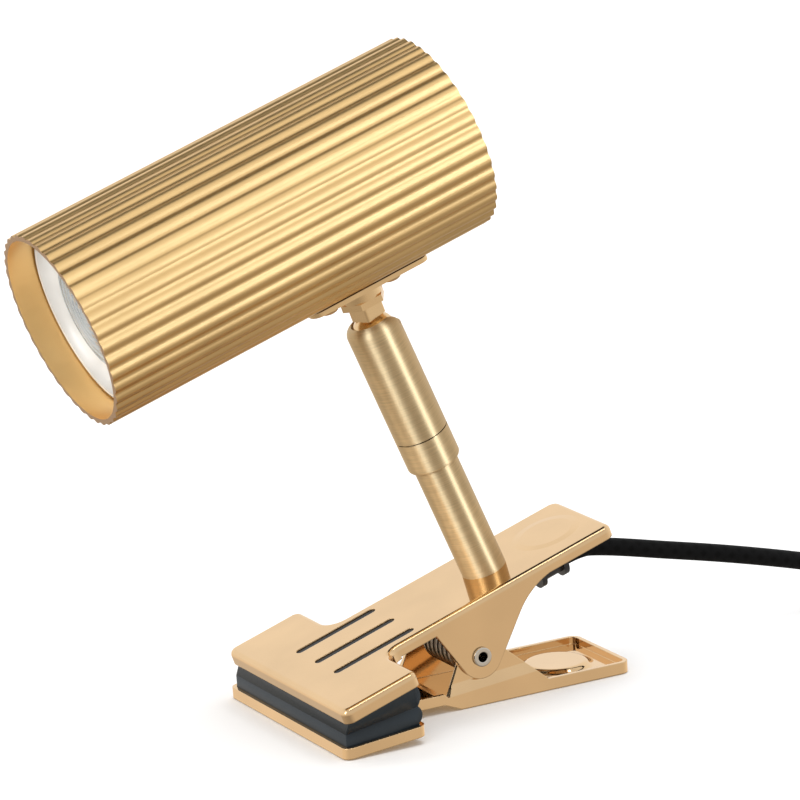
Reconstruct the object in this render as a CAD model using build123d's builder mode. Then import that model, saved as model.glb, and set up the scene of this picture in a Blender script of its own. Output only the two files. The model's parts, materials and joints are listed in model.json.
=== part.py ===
from build123d import *
import math
import os

# Clip-on reading lamp: a fluted spot head on a ball-jointed arm that stands on a sprung clip.
# Millimetres and degrees. X runs along the clip from its jaws (-X) to its handles (+X), +Y is the
# far side and +Z is up. The lamp stands on its lower clip plate, and the origin is under the
# middle of the lamp, leaving its cord out.

# Clip plates
sheet = 1.2                    # steel of both clip plates
plate_angle = 17.5             # slope of the upper plate when the jaws are shut
plate_front_height = 13.3      # top of the upper plate's front edge above the table
plate_length = 98.5
jaw_depth = 23.5
jaw_width = 72.0
handle_width = 32.5
jaw_flange = 4.0               # turned-down edge round the upper jaw
handle_flange = 3.4            # turned-down edge of the upper handle
bend_radius = 1.6
jaw_corner = 2.5
notch_corner = 5.0             # inner corner between jaw and handle
handle_corner = 3.0
slot_count = 3
slot_pitch = 11.5
slot_length = 25.5
slot_width = 2.6
slot_middle = 23.0             # along the plate from the jaw's front edge
thumb_along = 86.0             # thumb rest pressed up in the handle
thumb_radius = 9.7
thumb_rise = 0.2
thumb_taper = 85.0             # slope of its rim
lower_length = 97.6
lower_jaw_depth = 24.3
lower_handle_width = 31.5
lower_jaw_rise = 2.1           # the lower jaw slopes up to its back edge
step_start = 40.0              # the raised neck steps down to the handle here
step_end = 45.0
lower_jaw_flange = 3.0         # turned-up edges of the lower plate
lower_handle_flange = 3.2
rest_along = 82.5              # finger rest pressed up in the lower handle
rest_radius = 10.0
rest_height = 1.3
rest_slope = 1.6
rest_round = 2.0

# Clip pivot and spring
pivot_along = 49.4             # along the upper plate, and below its top face
pivot_drop = 15.15
upper_ear_radius = 6.2
upper_ear_front = 39.4
upper_ear_knee = (64.6, -9.15)
upper_ear_middle = (69.4, -5.7)
upper_ear_end = 76.5
lower_ear_radius = 5.5
lower_ear_start = 41.0
lower_ear_end = 72.0
joggle_front = 4.0             # side wall's height where it steps in to the ear
joggle_back = 6.5
joggle_rise = 3.0              # height that the step takes
ear_gap = 0.3
rivet_radius = 2.2
rivet_bore = 1.35
rivet_head_radius = 2.7
rivet_head = 0.8
rivet_curl = 0.3               # rounding into the bore
pin_clearance = 0.05
spring_radius = 5.0            # to the middle of the wire
spring_wire = 1.0              # wire radius
spring_pitch = 2.6
spring_loops = 5
spring_upper_reach = 76.0      # where the upper leg presses, along the upper plate
spring_lower_reach = 67.0      # where the lower leg presses, from the jaw's front edge
leg_clearance = 0.1

# Rubber pads
pad_inset = 1.3
pad_side = 2.1                 # from the plates' sides
pad_gap = 0.12
pad_front_height = 6.3
pad_back_height = 9.9
pad_bulge = 1.2
tongue_end = 37.5              # upper pad's tongue under the slots, along the plate
tongue_width = 28.0
tongue_thick = 1.2
rib_drop = 0.35                # its ribs stand in the slots, this far below the top face

# Arm
arm_along = 65.3
arm_lean = 3.9                 # forward of square to the upper plate
arm_radius = 6.25
arm_wall = 1.0
collar_low = 34.6
seam_height = 44.2
sleeve_radius = 7.5
sleeve_length = 35.9
sleeve_round = 3.0
collar_round = 1.4
collar_land = 0.1              # flat left under the collar's rounded edge
seam_gap = 0.3
fit = 0.05                     # sliding fit between round pieces

# Ball joint
ball_radius = 6.3
ball_clearance = 0.1
ball_depth = 4.4               # centre of the ball below the sleeve's top
mouth_radius = 5.4
slot_half_width = 4.7          # notch that lets the neck lean back
slot_floor = 0.3               # its bottom above the ball's centre
neck_side = 7.0
neck_corner = 0.8
neck_turn = 18.0
neck_start = 5.2               # bottom of the square neck above the ball's centre
neck_shows = 5.0               # above the sleeve's top
hex_flats = 11.4
hex_thick = 1.9
boss_radius = 5.8
boss_thick = 2.3
stud_radius = 4.0
stud_length = 16.0             # above the hex flange
wire_bore = 2.0

# Swivel inside the sleeve
spigot_radius = 3.95
spigot_bore = 2.5
spigot_plug = 15.0
bush_height = 7.8
bush_lip = 1.0                 # stands above the spigot's top
circlip_thick = 1.0
circlip_radius = 5.3
disc_count = 4
disc_thick = 0.7
disc_cone = 1.0
disc_radius = 6.2
disc_hole = 3.4
seat_depth = 6.1               # its top below the ball's centre

# Arm foot
nipple_radius = 4.0
nipple_up = 9.0
nipple_down = 7.0
foot_length = 10.0
foot_lift = 0.5                # ring's lower end above the plate
nut_flats = 11.8
nut_thick = 4.0
washer_thick = 0.8
washer_radius = 7.2

# Head
shade_radius = 27.5
shade_bore = 25.8
shade_length = 118.5
flute_count = 40
flute_depth = 0.6
ridge_share = 0.62             # share of each flute's pitch that is ridge
ridge_foot = 0.6               # depth share where ridge turns to groove
stub_from_front = 81.25
bracket_length = 37.0
bracket_width = 12.0
bracket_shift = 1.7            # the bracket reaches further back than forward
bracket_thick = 1.3
bracket_corner = 3.0
screw_pitch = 20.0
screw_radius = 1.5
screw_head_radius = 2.8
screw_head = 2.2
screw_length = 8.0
cap_inset = 4.0
cap_thick = 1.5
cap_skirt = 7.0
cap_wall = 1.2
switch_radius = 6.0            # push switch in the middle of the rear cap
switch_rim_radius = 8.0
switch_rim = 1.2
switch_depth = 16.0
switch_nut_flats = 17.0
switch_nut_thick = 2.5
button_radius = 4.5
button_rise = 2.2              # stands above the switch's rim when out
button_depth = 5.0
button_travel = 1.6
button_round = 0.8

# Bulb and its holder
bulb_inset = 7.8
bulb_radius = 25.0
bulb_rim = 1.0
bulb_rim_depth = 3.5
bulb_valley = 3.6
bulb_neck_radius = 14.5
bulb_neck_start = 32.0
bulb_length = 45.0
lens_radius = 15.0
lens_seat = 3.6
lens_crown = 3.4
pin_pitch = 10.0
pin_length = 7.0
pin_shank_radius = 1.5
pin_head_radius = 2.5
pin_head = 2.6
holder_radius = 14.0
holder_length = 14.0
holder_gap = 0.3
pocket_radius = 2.9
pocket_depth = 8.0
contact_thick = 1.2
holder_cavity = 7.0
holder_cavity_depth = 5.0
strip_thick = 1.5
strip_width = 14.0
strip_front = 66.0
strip_back = 104.0
upright_top = 12.0
holder_screw_pitch = 20.0
holder_screw_radius = 1.45
holder_screw_head_radius = 2.6
wire_radius = 0.9
wire_half_pitch = 1.0
wire_turn = 3.0
wire_sag = 4.5                 # dip of the wires between grip and arm
wire_reach = 7.5               # where they dip, behind the arm

# Cord, its grip and plug
cord_radius = 2.5
bend_share = 0.45              # share of the shorter run that each bend takes
arcs_per_turn = 4              # pairs of arcs that draw each turn of a coil
grip_start = 78.4
grip_end = 87.4
grip_drop = 8.8
grip_radius = 3.3
grip_flange_radius = 4.6
grip_flange_thick = 1.6
coil_entry = 243.0             # from the jaw's front edge
coil_height = 3.4              # lower layer's middle above the table
coil_layer = 5.5
coil_outer = 38.0
coil_pitch = 5.5
coil_turns = 8.0
coil_far_side = 33.5           # where the cord runs in, across the lamp
climb_turns = 0.5
reverse_ease = 0.004           # rounds off the spiral's turn-round
first_run = 6.5                # straight cord beyond the grip, and before the coil
last_run = 15.0
tie_width = 12.0
tie_thick = 0.7
tie_clearance = 0.5
plug_start = 298.0             # from the jaw's front edge
plug_across = 15.0
plug_height = 13.7
tail_first_run = 12.0
tail_last_run = 3.0
plug_length = 37.0
plug_width = 35.3
plug_nose = 15.0
plug_taper = 14.0
plug_round = 2.5
plug_grip = 9.0
prong_radius = 2.0
prong_root_radius = 1.7        # slimmer root, which stands this far out of the plug
prong_root = 0.5
prong_length = 19.0
prong_pitch = 18.6

slope_cos = math.cos(math.radians(plate_angle))
slope_sin = math.sin(math.radians(plate_angle))
arm_cos = math.cos(math.radians(plate_angle + arm_lean))
arm_sin = math.sin(math.radians(plate_angle + arm_lean))
sleeve_top = seam_height + sleeve_length
ball_height = sleeve_top - ball_depth

# Heights above the ball's centre, along the neck
flange_low = ball_depth + neck_shows
boss_low = flange_low + hex_thick
bracket_low = boss_low + boss_thick
head_height = bracket_low + bracket_thick + shade_radius

# The lamp reaches from the head's upper front corner to the lower plate's back edge,
# and the origin stands half way between them.
head_front_reach = (
    arm_along * slope_cos
    - ball_height * arm_sin
    - head_height * slope_sin
    - stub_from_front * slope_cos
    - shade_radius * slope_sin
)
jaw_front = -(head_front_reach + lower_length) / 2

plate = Plane(
    origin=(jaw_front, 0, plate_front_height),
    x_dir=(slope_cos, 0, slope_sin),
    z_dir=(-slope_sin, 0, slope_cos),
)


def on_plate(along, across, up):
    """Point at a place along, across and above the upper plate's top face."""
    return plate.from_local_coords(Vector(along, across, up))


def upright(origin):
    """Plane through a point, along the upper plate and its normal, facing the near side."""
    return Plane(origin=origin, x_dir=plate.x_dir, z_dir=(0, -1, 0))


def level(across):
    """Upright plane along X and Z at a place across the lamp, facing the near side."""
    return Plane(origin=(jaw_front, across, 0), x_dir=(1, 0, 0), z_dir=(0, -1, 0))


arm = Plane(
    origin=on_plate(arm_along, 0, 0), x_dir=(arm_cos, 0, arm_sin), z_dir=(-arm_sin, 0, arm_cos)
)
arm_side = Plane(origin=arm.origin, x_dir=arm.x_dir, z_dir=(0, -1, 0))
arm_axis = Axis(arm.origin, arm.z_dir)
ball_centre = arm.from_local_coords(Vector(0, 0, ball_height))
neck = Plane(origin=ball_centre, x_dir=plate.x_dir, z_dir=plate.z_dir)
neck_axis = Axis(neck.origin, neck.z_dir)
head_front = neck.from_local_coords(Vector(-stub_from_front, 0, head_height))
head = Plane(origin=head_front, x_dir=(0, 1, 0), z_dir=plate.x_dir)
head_side = upright(head_front)
head_axis = Axis(head_front, plate.x_dir)
pivot = on_plate(pivot_along, 0, -pivot_drop)
pivot_x = pivot.X - jaw_front
pivot_z = pivot.Z

os.makedirs("parts", exist_ok=True)


def save(piece, name):
    """Label a finished piece and write it."""
    piece.part.label = name
    export_step(piece.part, f"parts/{name}.step")


def polar(radius, degrees):
    """Point at a radius and an angle."""
    return (radius * math.cos(math.radians(degrees)), radius * math.sin(math.radians(degrees)))


def turned(outline, side, axis):
    """Piece turned from a closed outline of straight lines."""
    with BuildPart() as piece:
        with BuildSketch(side):
            with BuildLine():
                Polyline(*outline, close=True)
            make_face()
        revolve(axis=axis)
    return piece


def touch_point(point, centre, radius, side):
    """Where the line from a point touches a circle, on its left (1) or right (-1) side."""
    gap_x = point[0] - centre[0]
    gap_y = point[1] - centre[1]
    reach = math.hypot(gap_x, gap_y)
    bearing = math.atan2(gap_y, gap_x) + side * math.acos(radius / reach)
    return (centre[0] + radius * math.cos(bearing), centre[1] + radius * math.sin(bearing))


def arc_middle(start, end, centre, radius):
    """Middle of the arc between two points of a circle, on the side away from their chord."""
    bearing_x = (start[0] + end[0]) / 2 - centre[0]
    bearing_y = (start[1] + end[1]) / 2 - centre[1]
    reach = math.hypot(bearing_x, bearing_y)
    return (centre[0] + radius * bearing_x / reach, centre[1] + radius * bearing_y / reach)


def tee_corners(length, depth, wide, narrow, inset):
    """Corners of a clip plate's T, from its jaw's front edge at 0 along X."""
    half = wide / 2 - inset
    slim = narrow / 2 - inset
    shoulder = depth - inset
    return [
        (inset, -half),
        (shoulder, -half),
        (shoulder, -slim),
        (length - inset, -slim),
        (length - inset, slim),
        (shoulder, slim),
        (shoulder, half),
        (inset, half),
    ]


def upper_tee(inset):
    """Corners of the upper plate's T, drawn in by an inset."""
    return tee_corners(plate_length, jaw_depth, jaw_width, handle_width, inset)


def lower_tee(inset):
    """Corners of the lower plate's T, drawn in by an inset."""
    return tee_corners(lower_length, lower_jaw_depth, jaw_width, lower_handle_width, inset)


def tee_radii(inset):
    """Radii at the corners of a clip plate's T."""
    outer = jaw_corner - inset
    inner = notch_corner + inset
    tail = handle_corner - inset
    return [outer, outer, inner, tail, tail, inner, outer, outer]


def add_biarc(start, start_way, end, end_way):
    """Join two points and their directions by two arcs that run smoothly into each other."""
    chord = end - start
    ways = start_way + end_way
    bend = 2 * (1 - start_way.dot(end_way))
    pull = chord.dot(ways)
    reach = (-pull + math.sqrt(pull * pull + bend * chord.dot(chord))) / bend
    first = start + start_way * reach
    last = end - end_way * reach
    middle = (first + last) * 0.5
    TangentArc(start, middle, tangent=start_way)
    TangentArc(middle, end, tangent=(last - first).normalized())


def add_curve(place, start, end, count):
    """Follow a curve, given as a function of its turns, with pairs of arcs."""
    step = (end - start) / count
    tiny = 1e-5
    knots = []
    for index in range(count + 1):
        turn = start + index * step
        way = (place(turn + tiny) - place(turn - tiny)).normalized()
        knots.append((place(turn), way))
    for (here, way), (there, next_way) in zip(knots, knots[1:]):
        add_biarc(here, way, there, next_way)
    return knots[0], knots[-1]


def least_gap(place, start, end, radius):
    """Least space between a tube's loops, measured on points a quarter turn or more apart."""
    samples = 72
    count = round((end - start) * samples)
    points = [place(start + index / samples) for index in range(count + 1)]
    least = min(
        (points[i] - points[j]).length
        for i in range(len(points))
        for j in range(i + samples // 4, len(points))
    )
    return least - 2 * radius


# Upper plate: a stamped T with turned-down edges, two ears, three slots and a thumb rest
with BuildPart() as top_plate:
    with BuildSketch(plate):
        with BuildLine():
            FilletPolyline(*upper_tee(0), radius=tee_radii(0), close=True)
        make_face()
    extrude(amount=-jaw_flange)
    top_face = top_plate.faces().sort_by(Axis(plate.origin, plate.z_dir))[-1]
    fillet(top_face.edges(), bend_radius)
    with BuildSketch(plate.offset(-sheet)):
        with BuildLine():
            FilletPolyline(*upper_tee(sheet), radius=tee_radii(sheet), close=True)
        make_face()
    extrude(amount=-jaw_flange, mode=Mode.SUBTRACT)
    with BuildSketch(plate.offset(-handle_flange)):
        with Locations(((plate_length + jaw_depth + notch_corner) / 2, 0)):
            Rectangle(plate_length - jaw_depth - notch_corner + sheet, handle_width + sheet)
    extrude(amount=-jaw_flange, mode=Mode.SUBTRACT)
    for side in (-1, 1):
        ear_face = upright(on_plate(0, side * (handle_width / 2 - sheet / 2), 0))
        pivot_point = (pivot_along, -pivot_drop)
        ear_top = -sheet - (handle_flange - sheet) / 2
        front_touch = touch_point((upper_ear_front, -handle_flange), pivot_point, upper_ear_radius, 1)
        knee_touch = touch_point(upper_ear_knee, pivot_point, upper_ear_radius, -1)
        with BuildSketch(ear_face):
            with BuildLine():
                Line(upper_ear_knee, knee_touch)
                ThreePointArc(
                    knee_touch,
                    arc_middle(knee_touch, front_touch, pivot_point, upper_ear_radius),
                    front_touch,
                )
                Polyline(
                    front_touch,
                    (upper_ear_front, -handle_flange),
                    (upper_ear_front, ear_top),
                    (upper_ear_end, ear_top),
                    (upper_ear_end, -handle_flange),
                )
                ThreePointArc((upper_ear_end, -handle_flange), upper_ear_middle, upper_ear_knee)
            make_face()
            with Locations(pivot_point):
                Circle(rivet_radius + pin_clearance, mode=Mode.SUBTRACT)
        extrude(amount=sheet / 2, both=True)
    with BuildSketch(plate):
        with Locations((slot_middle, 0)):
            with GridLocations(0, slot_pitch, 1, slot_count):
                SlotOverall(slot_length, slot_width)
        with Locations((arm_along, 0)):
            Circle(nipple_radius + ball_clearance)
    extrude(amount=-jaw_flange, mode=Mode.SUBTRACT)
    with BuildSketch(plate):
        with Locations((thumb_along, 0)):
            Circle(thumb_radius)
    extrude(amount=thumb_rise, taper=thumb_taper)
save(top_plate, "top_plate")


def lower_under(lift):
    """Underside of the lower plate from jaw to handle, lifted by a height."""
    return [
        (0, lift),
        (lower_jaw_depth, lower_jaw_rise + lift),
        (step_start, lower_jaw_rise + lift),
        (step_end, lift),
        (lower_length, lift),
    ]


# Lower plate: the same T turned over, with a sloping jaw, a raised neck and a handle that
# lies on the table
with BuildPart() as lower_hollow:
    with BuildSketch(level(jaw_width / 2)):
        with BuildLine():
            Polyline(*lower_under(sheet), (lower_length, jaw_width), (0, jaw_width), close=True)
        make_face()
    extrude(amount=jaw_width)
    with BuildSketch(Plane((jaw_front, 0, 0))):
        with BuildLine():
            FilletPolyline(*lower_tee(sheet), radius=tee_radii(sheet), close=True)
        make_face()
    extrude(amount=jaw_width, mode=Mode.INTERSECT)

lower_ear_outside = handle_width / 2 - sheet - ear_gap
lower_wall_outside = lower_handle_width / 2


def near_ear(outside, thick):
    """Near ear of the lower plate, from its outside face inwards."""
    pivot_point = (pivot_x, pivot_z)
    front_foot = (lower_ear_start, lower_jaw_rise + sheet / 2)
    back_foot = (lower_ear_end, lower_handle_flange)
    front_touch = touch_point(front_foot, pivot_point, lower_ear_radius, -1)
    back_touch = touch_point(back_foot, pivot_point, lower_ear_radius, 1)
    with BuildPart() as ear:
        with BuildSketch(level(-outside)):
            with BuildLine():
                Polyline(
                    back_touch,
                    back_foot,
                    (lower_ear_end, sheet / 2),
                    (step_end, sheet / 2),
                    front_foot,
                    front_touch,
                )
                ThreePointArc(front_touch, (pivot_x, pivot_z + lower_ear_radius), back_touch)
            make_face()
            with Locations(pivot_point):
                Circle(rivet_radius + pin_clearance, mode=Mode.SUBTRACT)
        extrude(amount=-thick)
    return ear


# Both ears stand inside the upper ears, and a slanting step joins each to the side wall below
step_in = lower_wall_outside - lower_ear_outside
step_line = Vector(lower_ear_end - lower_ear_start, 0, joggle_back - joggle_front)
step_slope = Vector(0, step_in, joggle_rise)
with BuildPart() as lower_ears:
    add(near_ear(lower_wall_outside, step_in + sheet / 2).part)
    split(
        bisect_by=Plane(
            origin=(jaw_front + lower_ear_start, -lower_wall_outside, joggle_front),
            x_dir=step_line,
            z_dir=step_line.cross(step_slope),
        ),
        keep=Keep.BOTTOM,
    )
    add(near_ear(lower_ear_outside, sheet).part)
    mirror(about=Plane.XZ)

with BuildPart() as lower_plate:
    with BuildSketch(level(jaw_width / 2)):
        with BuildLine():
            Polyline(
                *lower_under(0),
                (lower_length, lower_handle_flange),
                (lower_ear_end, lower_handle_flange),
                (lower_ear_start, joggle_front),
                (step_start, lower_jaw_rise + lower_jaw_flange),
                (lower_jaw_depth, lower_jaw_rise + lower_jaw_flange),
                (0, lower_jaw_flange),
                close=True,
            )
        make_face()
    extrude(amount=jaw_width)
    with BuildSketch(Plane((jaw_front, 0, 0))):
        with BuildLine():
            FilletPolyline(*lower_tee(0), radius=tee_radii(0), close=True)
        make_face()
    extrude(amount=jaw_width, mode=Mode.INTERSECT)
    add(lower_hollow.part, mode=Mode.SUBTRACT)
    with Locations((jaw_front + rest_along, 0, sheet)):
        Cone(
            rest_radius,
            rest_radius - rest_slope,
            rest_height,
            align=(Align.CENTER, Align.CENTER, Align.MIN),
        )
    rest_rims = [
        rim
        for rim in lower_plate.edges().filter_by(GeomType.CIRCLE)
        if math.isclose(rim.radius, rest_radius) or math.isclose(rim.radius, rest_radius - rest_slope)
    ]
    fillet(rest_rims, rest_round)
    add(lower_ears.part)
save(lower_plate, "lower_plate")

# Tubular rivet across both pairs of ears
rivet_reach = handle_width / 2 + ear_gap / 2
with BuildPart() as pivot_rivet:
    with BuildSketch(level(0)):
        with Locations((pivot_x, pivot_z)):
            Circle(rivet_radius)
    extrude(amount=rivet_reach, both=True)
    for side in (-1, 1):
        with BuildSketch(level(side * (rivet_reach + rivet_head / 2))):
            with Locations((pivot_x, pivot_z)):
                Circle(rivet_head_radius)
        extrude(amount=rivet_head / 2, both=True)
    rims = pivot_rivet.edges().filter_by(GeomType.CIRCLE).sort_by(Axis.Y)
    fillet([rims[0], rims[-1]], rivet_head / 2)
    with BuildSketch(level(0)):
        with Locations((pivot_x, pivot_z)):
            Circle(rivet_bore)
    extrude(amount=2 * rivet_reach, both=True, mode=Mode.SUBTRACT)
    bore_rims = pivot_rivet.edges().filter_by(GeomType.CIRCLE).sort_by(Axis.Y)
    fillet([bore_rims[0], bore_rims[-1]], rivet_curl)
save(pivot_rivet, "pivot_rivet")

# Torsion spring: its loops turn round the rivet, one leg presses on each handle
upper_tip = on_plate(spring_upper_reach, 0, -sheet - spring_wire - leg_clearance) - pivot
lower_tip = Vector(
    spring_lower_reach - pivot_x, 0, sheet + spring_wire + leg_clearance - pivot_z
)


def leg_bearing(tip, side):
    """Angle round the loops, in degrees from +X up, where a leg to a tip leaves them."""
    return math.degrees(math.atan2(tip.Z, tip.X) + side * math.acos(spring_radius / tip.length))


spring_from = leg_bearing(lower_tip, -1)
spring_turns = spring_loops + (spring_from - leg_bearing(upper_tip, 1)) % 360 / 360
spring_half = spring_pitch * spring_turns / 2


def spring_place(turn):
    """Middle of the spring's wire after a number of turns from its lower leg."""
    across, up = polar(spring_radius, spring_from - 360 * turn)
    return pivot + Vector(across, spring_pitch * turn - spring_half, up)


with BuildPart() as torsion_spring:
    with BuildLine():
        begin, finish = add_curve(spring_place, 0, spring_turns, math.ceil(arcs_per_turn * spring_turns))
        lower_leg = math.sqrt(lower_tip.length**2 - spring_radius**2)
        upper_leg = math.sqrt(upper_tip.length**2 - spring_radius**2)
        Line(begin[0] - begin[1] * lower_leg, begin[0])
        Line(finish[0], finish[0] + finish[1] * upper_leg)
    with BuildSketch(Plane(origin=begin[0] - begin[1] * lower_leg, z_dir=begin[1])):
        Circle(spring_wire)
    sweep()
save(torsion_spring, "torsion_spring")
print("spring gap", round(least_gap(spring_place, 0, spring_turns, spring_wire), 3))

# Rubber pads, shaped as wedges that meet along one slanting face. The upper one has a tongue
# whose ribs fill the slots of the plate
pad_half = jaw_width / 2 - pad_side
floor_slope = lower_jaw_rise / lower_jaw_depth
pad_back = lower_jaw_depth - pad_inset
pad_floor = sheet + fit
lower_lip = lower_jaw_rise + lower_jaw_flange + pad_gap
with BuildPart() as lower_pad:
    with BuildSketch(level(-pad_half)):
        with BuildLine():
            Polyline(
                (pad_back, pad_back_height),
                (pad_inset, pad_front_height),
                (pad_inset, pad_floor + floor_slope * pad_inset),
                (pad_back, pad_floor + floor_slope * pad_back),
                (pad_back, lower_lip),
            )
            ThreePointArc(
                (pad_back, lower_lip),
                (pad_back + pad_bulge, (lower_lip + pad_back_height) / 2),
                (pad_back, pad_back_height),
            )
        make_face()
    extrude(amount=-2 * pad_half)
save(lower_pad, "lower_pad")

pad_top = -sheet - fit
upper_front = plate.to_local_coords(
    Vector(jaw_front + pad_inset, 0, pad_front_height + pad_gap)
)
upper_back = plate.to_local_coords(Vector(jaw_front + pad_back, 0, pad_back_height + pad_gap))
upper_pad_back = jaw_depth - pad_inset
upper_lip = -jaw_flange - pad_gap
with BuildPart() as upper_pad:
    with BuildSketch(upright(on_plate(0, -pad_half, 0))):
        with BuildLine():
            Polyline(
                (upper_back.X, upper_back.Z),
                (upper_front.X, upper_front.Z),
                (pad_inset, upper_lip),
                (pad_inset, pad_top),
                (upper_pad_back, pad_top),
                (upper_pad_back, upper_lip),
            )
            ThreePointArc(
                (upper_pad_back, upper_lip),
                ((upper_pad_back + upper_back.X) / 2 + pad_bulge, (upper_lip + upper_back.Z) / 2),
                (upper_back.X, upper_back.Z),
            )
        make_face()
    extrude(amount=-2 * pad_half)
    with BuildSketch(plate.offset(pad_top)):
        with Locations(((pad_inset + tongue_end) / 2, 0)):
            Rectangle(tongue_end - pad_inset, tongue_width)
    extrude(amount=-tongue_thick)
    with BuildSketch(plate.offset(pad_top)):
        with Locations((slot_middle, 0)):
            with GridLocations(0, slot_pitch, 1, slot_count):
                SlotOverall(slot_length - 2 * fit, slot_width - 2 * fit)
    extrude(amount=-rib_drop - pad_top)
save(upper_pad, "upper_pad")

# Arm tube with its foot: threaded ring, hollow nipple, washer and nut
arm_bore = arm_radius - arm_wall
tube_top = seam_height - sheet
lean_slope = math.tan(math.radians(arm_lean))
tube_low = -arm_radius * lean_slope - fit
with BuildPart() as arm_tube:
    with BuildSketch(arm.offset(tube_low)):
        Circle(arm_radius)
        Circle(arm_bore, mode=Mode.SUBTRACT)
    extrude(amount=tube_top - tube_low)
    split(bisect_by=plate, keep=Keep.TOP)
save(arm_tube, "arm_tube")
foot_ring = turned(
    [
        (nipple_radius + fit, foot_lift),
        (arm_bore - fit, foot_lift),
        (arm_bore - fit, foot_length),
        (nipple_radius + fit, foot_length),
    ],
    arm_side,
    arm_axis,
)
save(foot_ring, "arm_foot_ring")
base_nipple = turned(
    [
        (spigot_bore, -nipple_down),
        (nipple_radius, -nipple_down),
        (nipple_radius, nipple_up),
        (spigot_bore, nipple_up),
    ],
    arm_side,
    arm_axis,
)
save(base_nipple, "base_nipple")
# The washer is a wedge, which makes up for the arm's lean
washer_low = -sheet - washer_thick - washer_radius * lean_slope
with BuildPart() as base_washer:
    with BuildSketch(arm.offset(washer_low)):
        Circle(washer_radius)
        Circle(nipple_radius + fit, mode=Mode.SUBTRACT)
    extrude(amount=-washer_low)
    split(bisect_by=plate.offset(-sheet), keep=Keep.BOTTOM)
save(base_washer, "base_washer")


def hexagon(flats):
    """Draw a hexagon in the open sketch, by the distance across its flats."""
    RegularPolygon(flats / 2, 6, major_radius=False)


with BuildPart() as base_nut:
    with BuildSketch(arm.offset(washer_low)):
        hexagon(nut_flats)
        Circle(nipple_radius + fit, mode=Mode.SUBTRACT)
    extrude(amount=-nut_thick)
save(base_nut, "base_nut")

# Collar at the top of the arm tube, and the spigot that the sleeve turns on
with BuildPart() as arm_collar:
    with BuildSketch(arm.offset(collar_low)):
        Circle(sleeve_radius)
    extrude(amount=seam_height - collar_low)
    low_edge = arm_collar.edges().filter_by(GeomType.CIRCLE).sort_by(arm_axis)[0]
    fillet(low_edge, min(collar_round, sleeve_radius - arm_radius - fit - collar_land))
    with BuildSketch(arm.offset(collar_low)):
        Circle(arm_radius + fit)
    extrude(amount=tube_top + fit - collar_low, mode=Mode.SUBTRACT)
    with BuildSketch(arm.offset(collar_low)):
        Circle(arm_bore)
    extrude(amount=seam_height - collar_low, mode=Mode.SUBTRACT)
save(arm_collar, "arm_collar")

bush_low = seam_height + seam_gap
circlip_low = bush_low + bush_height + seam_gap
spigot_top = circlip_low + 2 * circlip_thick
groove = spigot_radius - circlip_thick / 2
swivel_spigot = turned(
    [
        (spigot_bore, seam_height - spigot_plug),
        (arm_bore - fit, seam_height - spigot_plug),
        (arm_bore - fit, seam_height),
        (spigot_radius, seam_height),
        (spigot_radius, circlip_low - fit),
        (groove, circlip_low - fit),
        (groove, circlip_low + circlip_thick + fit),
        (spigot_radius, circlip_low + circlip_thick + fit),
        (spigot_radius, spigot_top),
        (spigot_bore, spigot_top),
    ],
    arm_side,
    arm_axis,
)
save(swivel_spigot, "swivel_spigot")
with BuildPart() as spigot_circlip:
    with BuildSketch(arm.offset(circlip_low)):
        Circle(circlip_radius)
        Circle(groove + fit, mode=Mode.SUBTRACT)
        with Locations((circlip_radius, 0)):
            Rectangle(circlip_radius, groove, mode=Mode.SUBTRACT)
    extrude(amount=circlip_thick)
save(spigot_circlip, "spigot_circlip")

# Sleeve: a round-shouldered cup for the ball, notched at the back so that the neck can lean
socket_radius = ball_radius + ball_clearance
with BuildPart() as swivel_sleeve:
    with BuildSketch(arm.offset(bush_low)):
        Circle(sleeve_radius)
    extrude(amount=sleeve_top - bush_low)
    top_edge = swivel_sleeve.edges().filter_by(GeomType.CIRCLE).sort_by(arm_axis)[-1]
    fillet(top_edge, sleeve_round)
    with BuildSketch(arm.offset(bush_low)):
        Circle(socket_radius)
    extrude(amount=ball_height - bush_low, mode=Mode.SUBTRACT)
    with Locations(ball_centre):
        Sphere(socket_radius, mode=Mode.SUBTRACT)
    with BuildSketch(arm.offset(ball_height)):
        Circle(mouth_radius)
    extrude(amount=sleeve_length, mode=Mode.SUBTRACT)
    with BuildSketch(arm.offset(ball_height + slot_floor)):
        with Locations((sleeve_radius / 2, 0)):
            Rectangle(sleeve_radius, 2 * slot_half_width)
    extrude(amount=sleeve_length, mode=Mode.SUBTRACT)
save(swivel_sleeve, "swivel_sleeve")

bush_radius = socket_radius - fit
bush_rim = circlip_radius + 2 * ball_clearance
bush_top = spigot_top + bush_lip
sleeve_bush = turned(
    [
        (spigot_radius + fit, bush_low),
        (bush_radius, bush_low),
        (bush_radius, bush_top),
        (bush_rim, bush_top),
        (bush_rim, bush_low + bush_height),
        (spigot_radius + fit, bush_low + bush_height),
    ],
    arm_side,
    arm_axis,
)
save(sleeve_bush, "sleeve_bush")
disc_rise = disc_thick + disc_cone
with BuildPart() as disc_springs:
    for index in range(disc_count):
        low = bush_top + index * disc_rise
        flat_low = index % 2 == 0
        outer_low = low if flat_low else low + disc_cone
        inner_low = low + disc_cone if flat_low else low
        with BuildSketch(arm_side):
            with BuildLine():
                Polyline(
                    (disc_radius, outer_low),
                    (disc_radius, outer_low + disc_thick),
                    (disc_hole, inner_low + disc_thick),
                    (disc_hole, inner_low),
                    close=True,
                )
            make_face()
        revolve(axis=arm_axis)
save(disc_springs, "disc_springs")
seat_low = bush_top + disc_count * disc_rise
with BuildPart() as ball_seat:
    with BuildSketch(arm.offset(seat_low)):
        Circle(socket_radius - ball_clearance)
        Circle(spigot_bore, mode=Mode.SUBTRACT)
    extrude(amount=ball_height - seat_depth - seat_low)
    with Locations(ball_centre):
        Sphere(socket_radius, mode=Mode.SUBTRACT)
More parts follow.
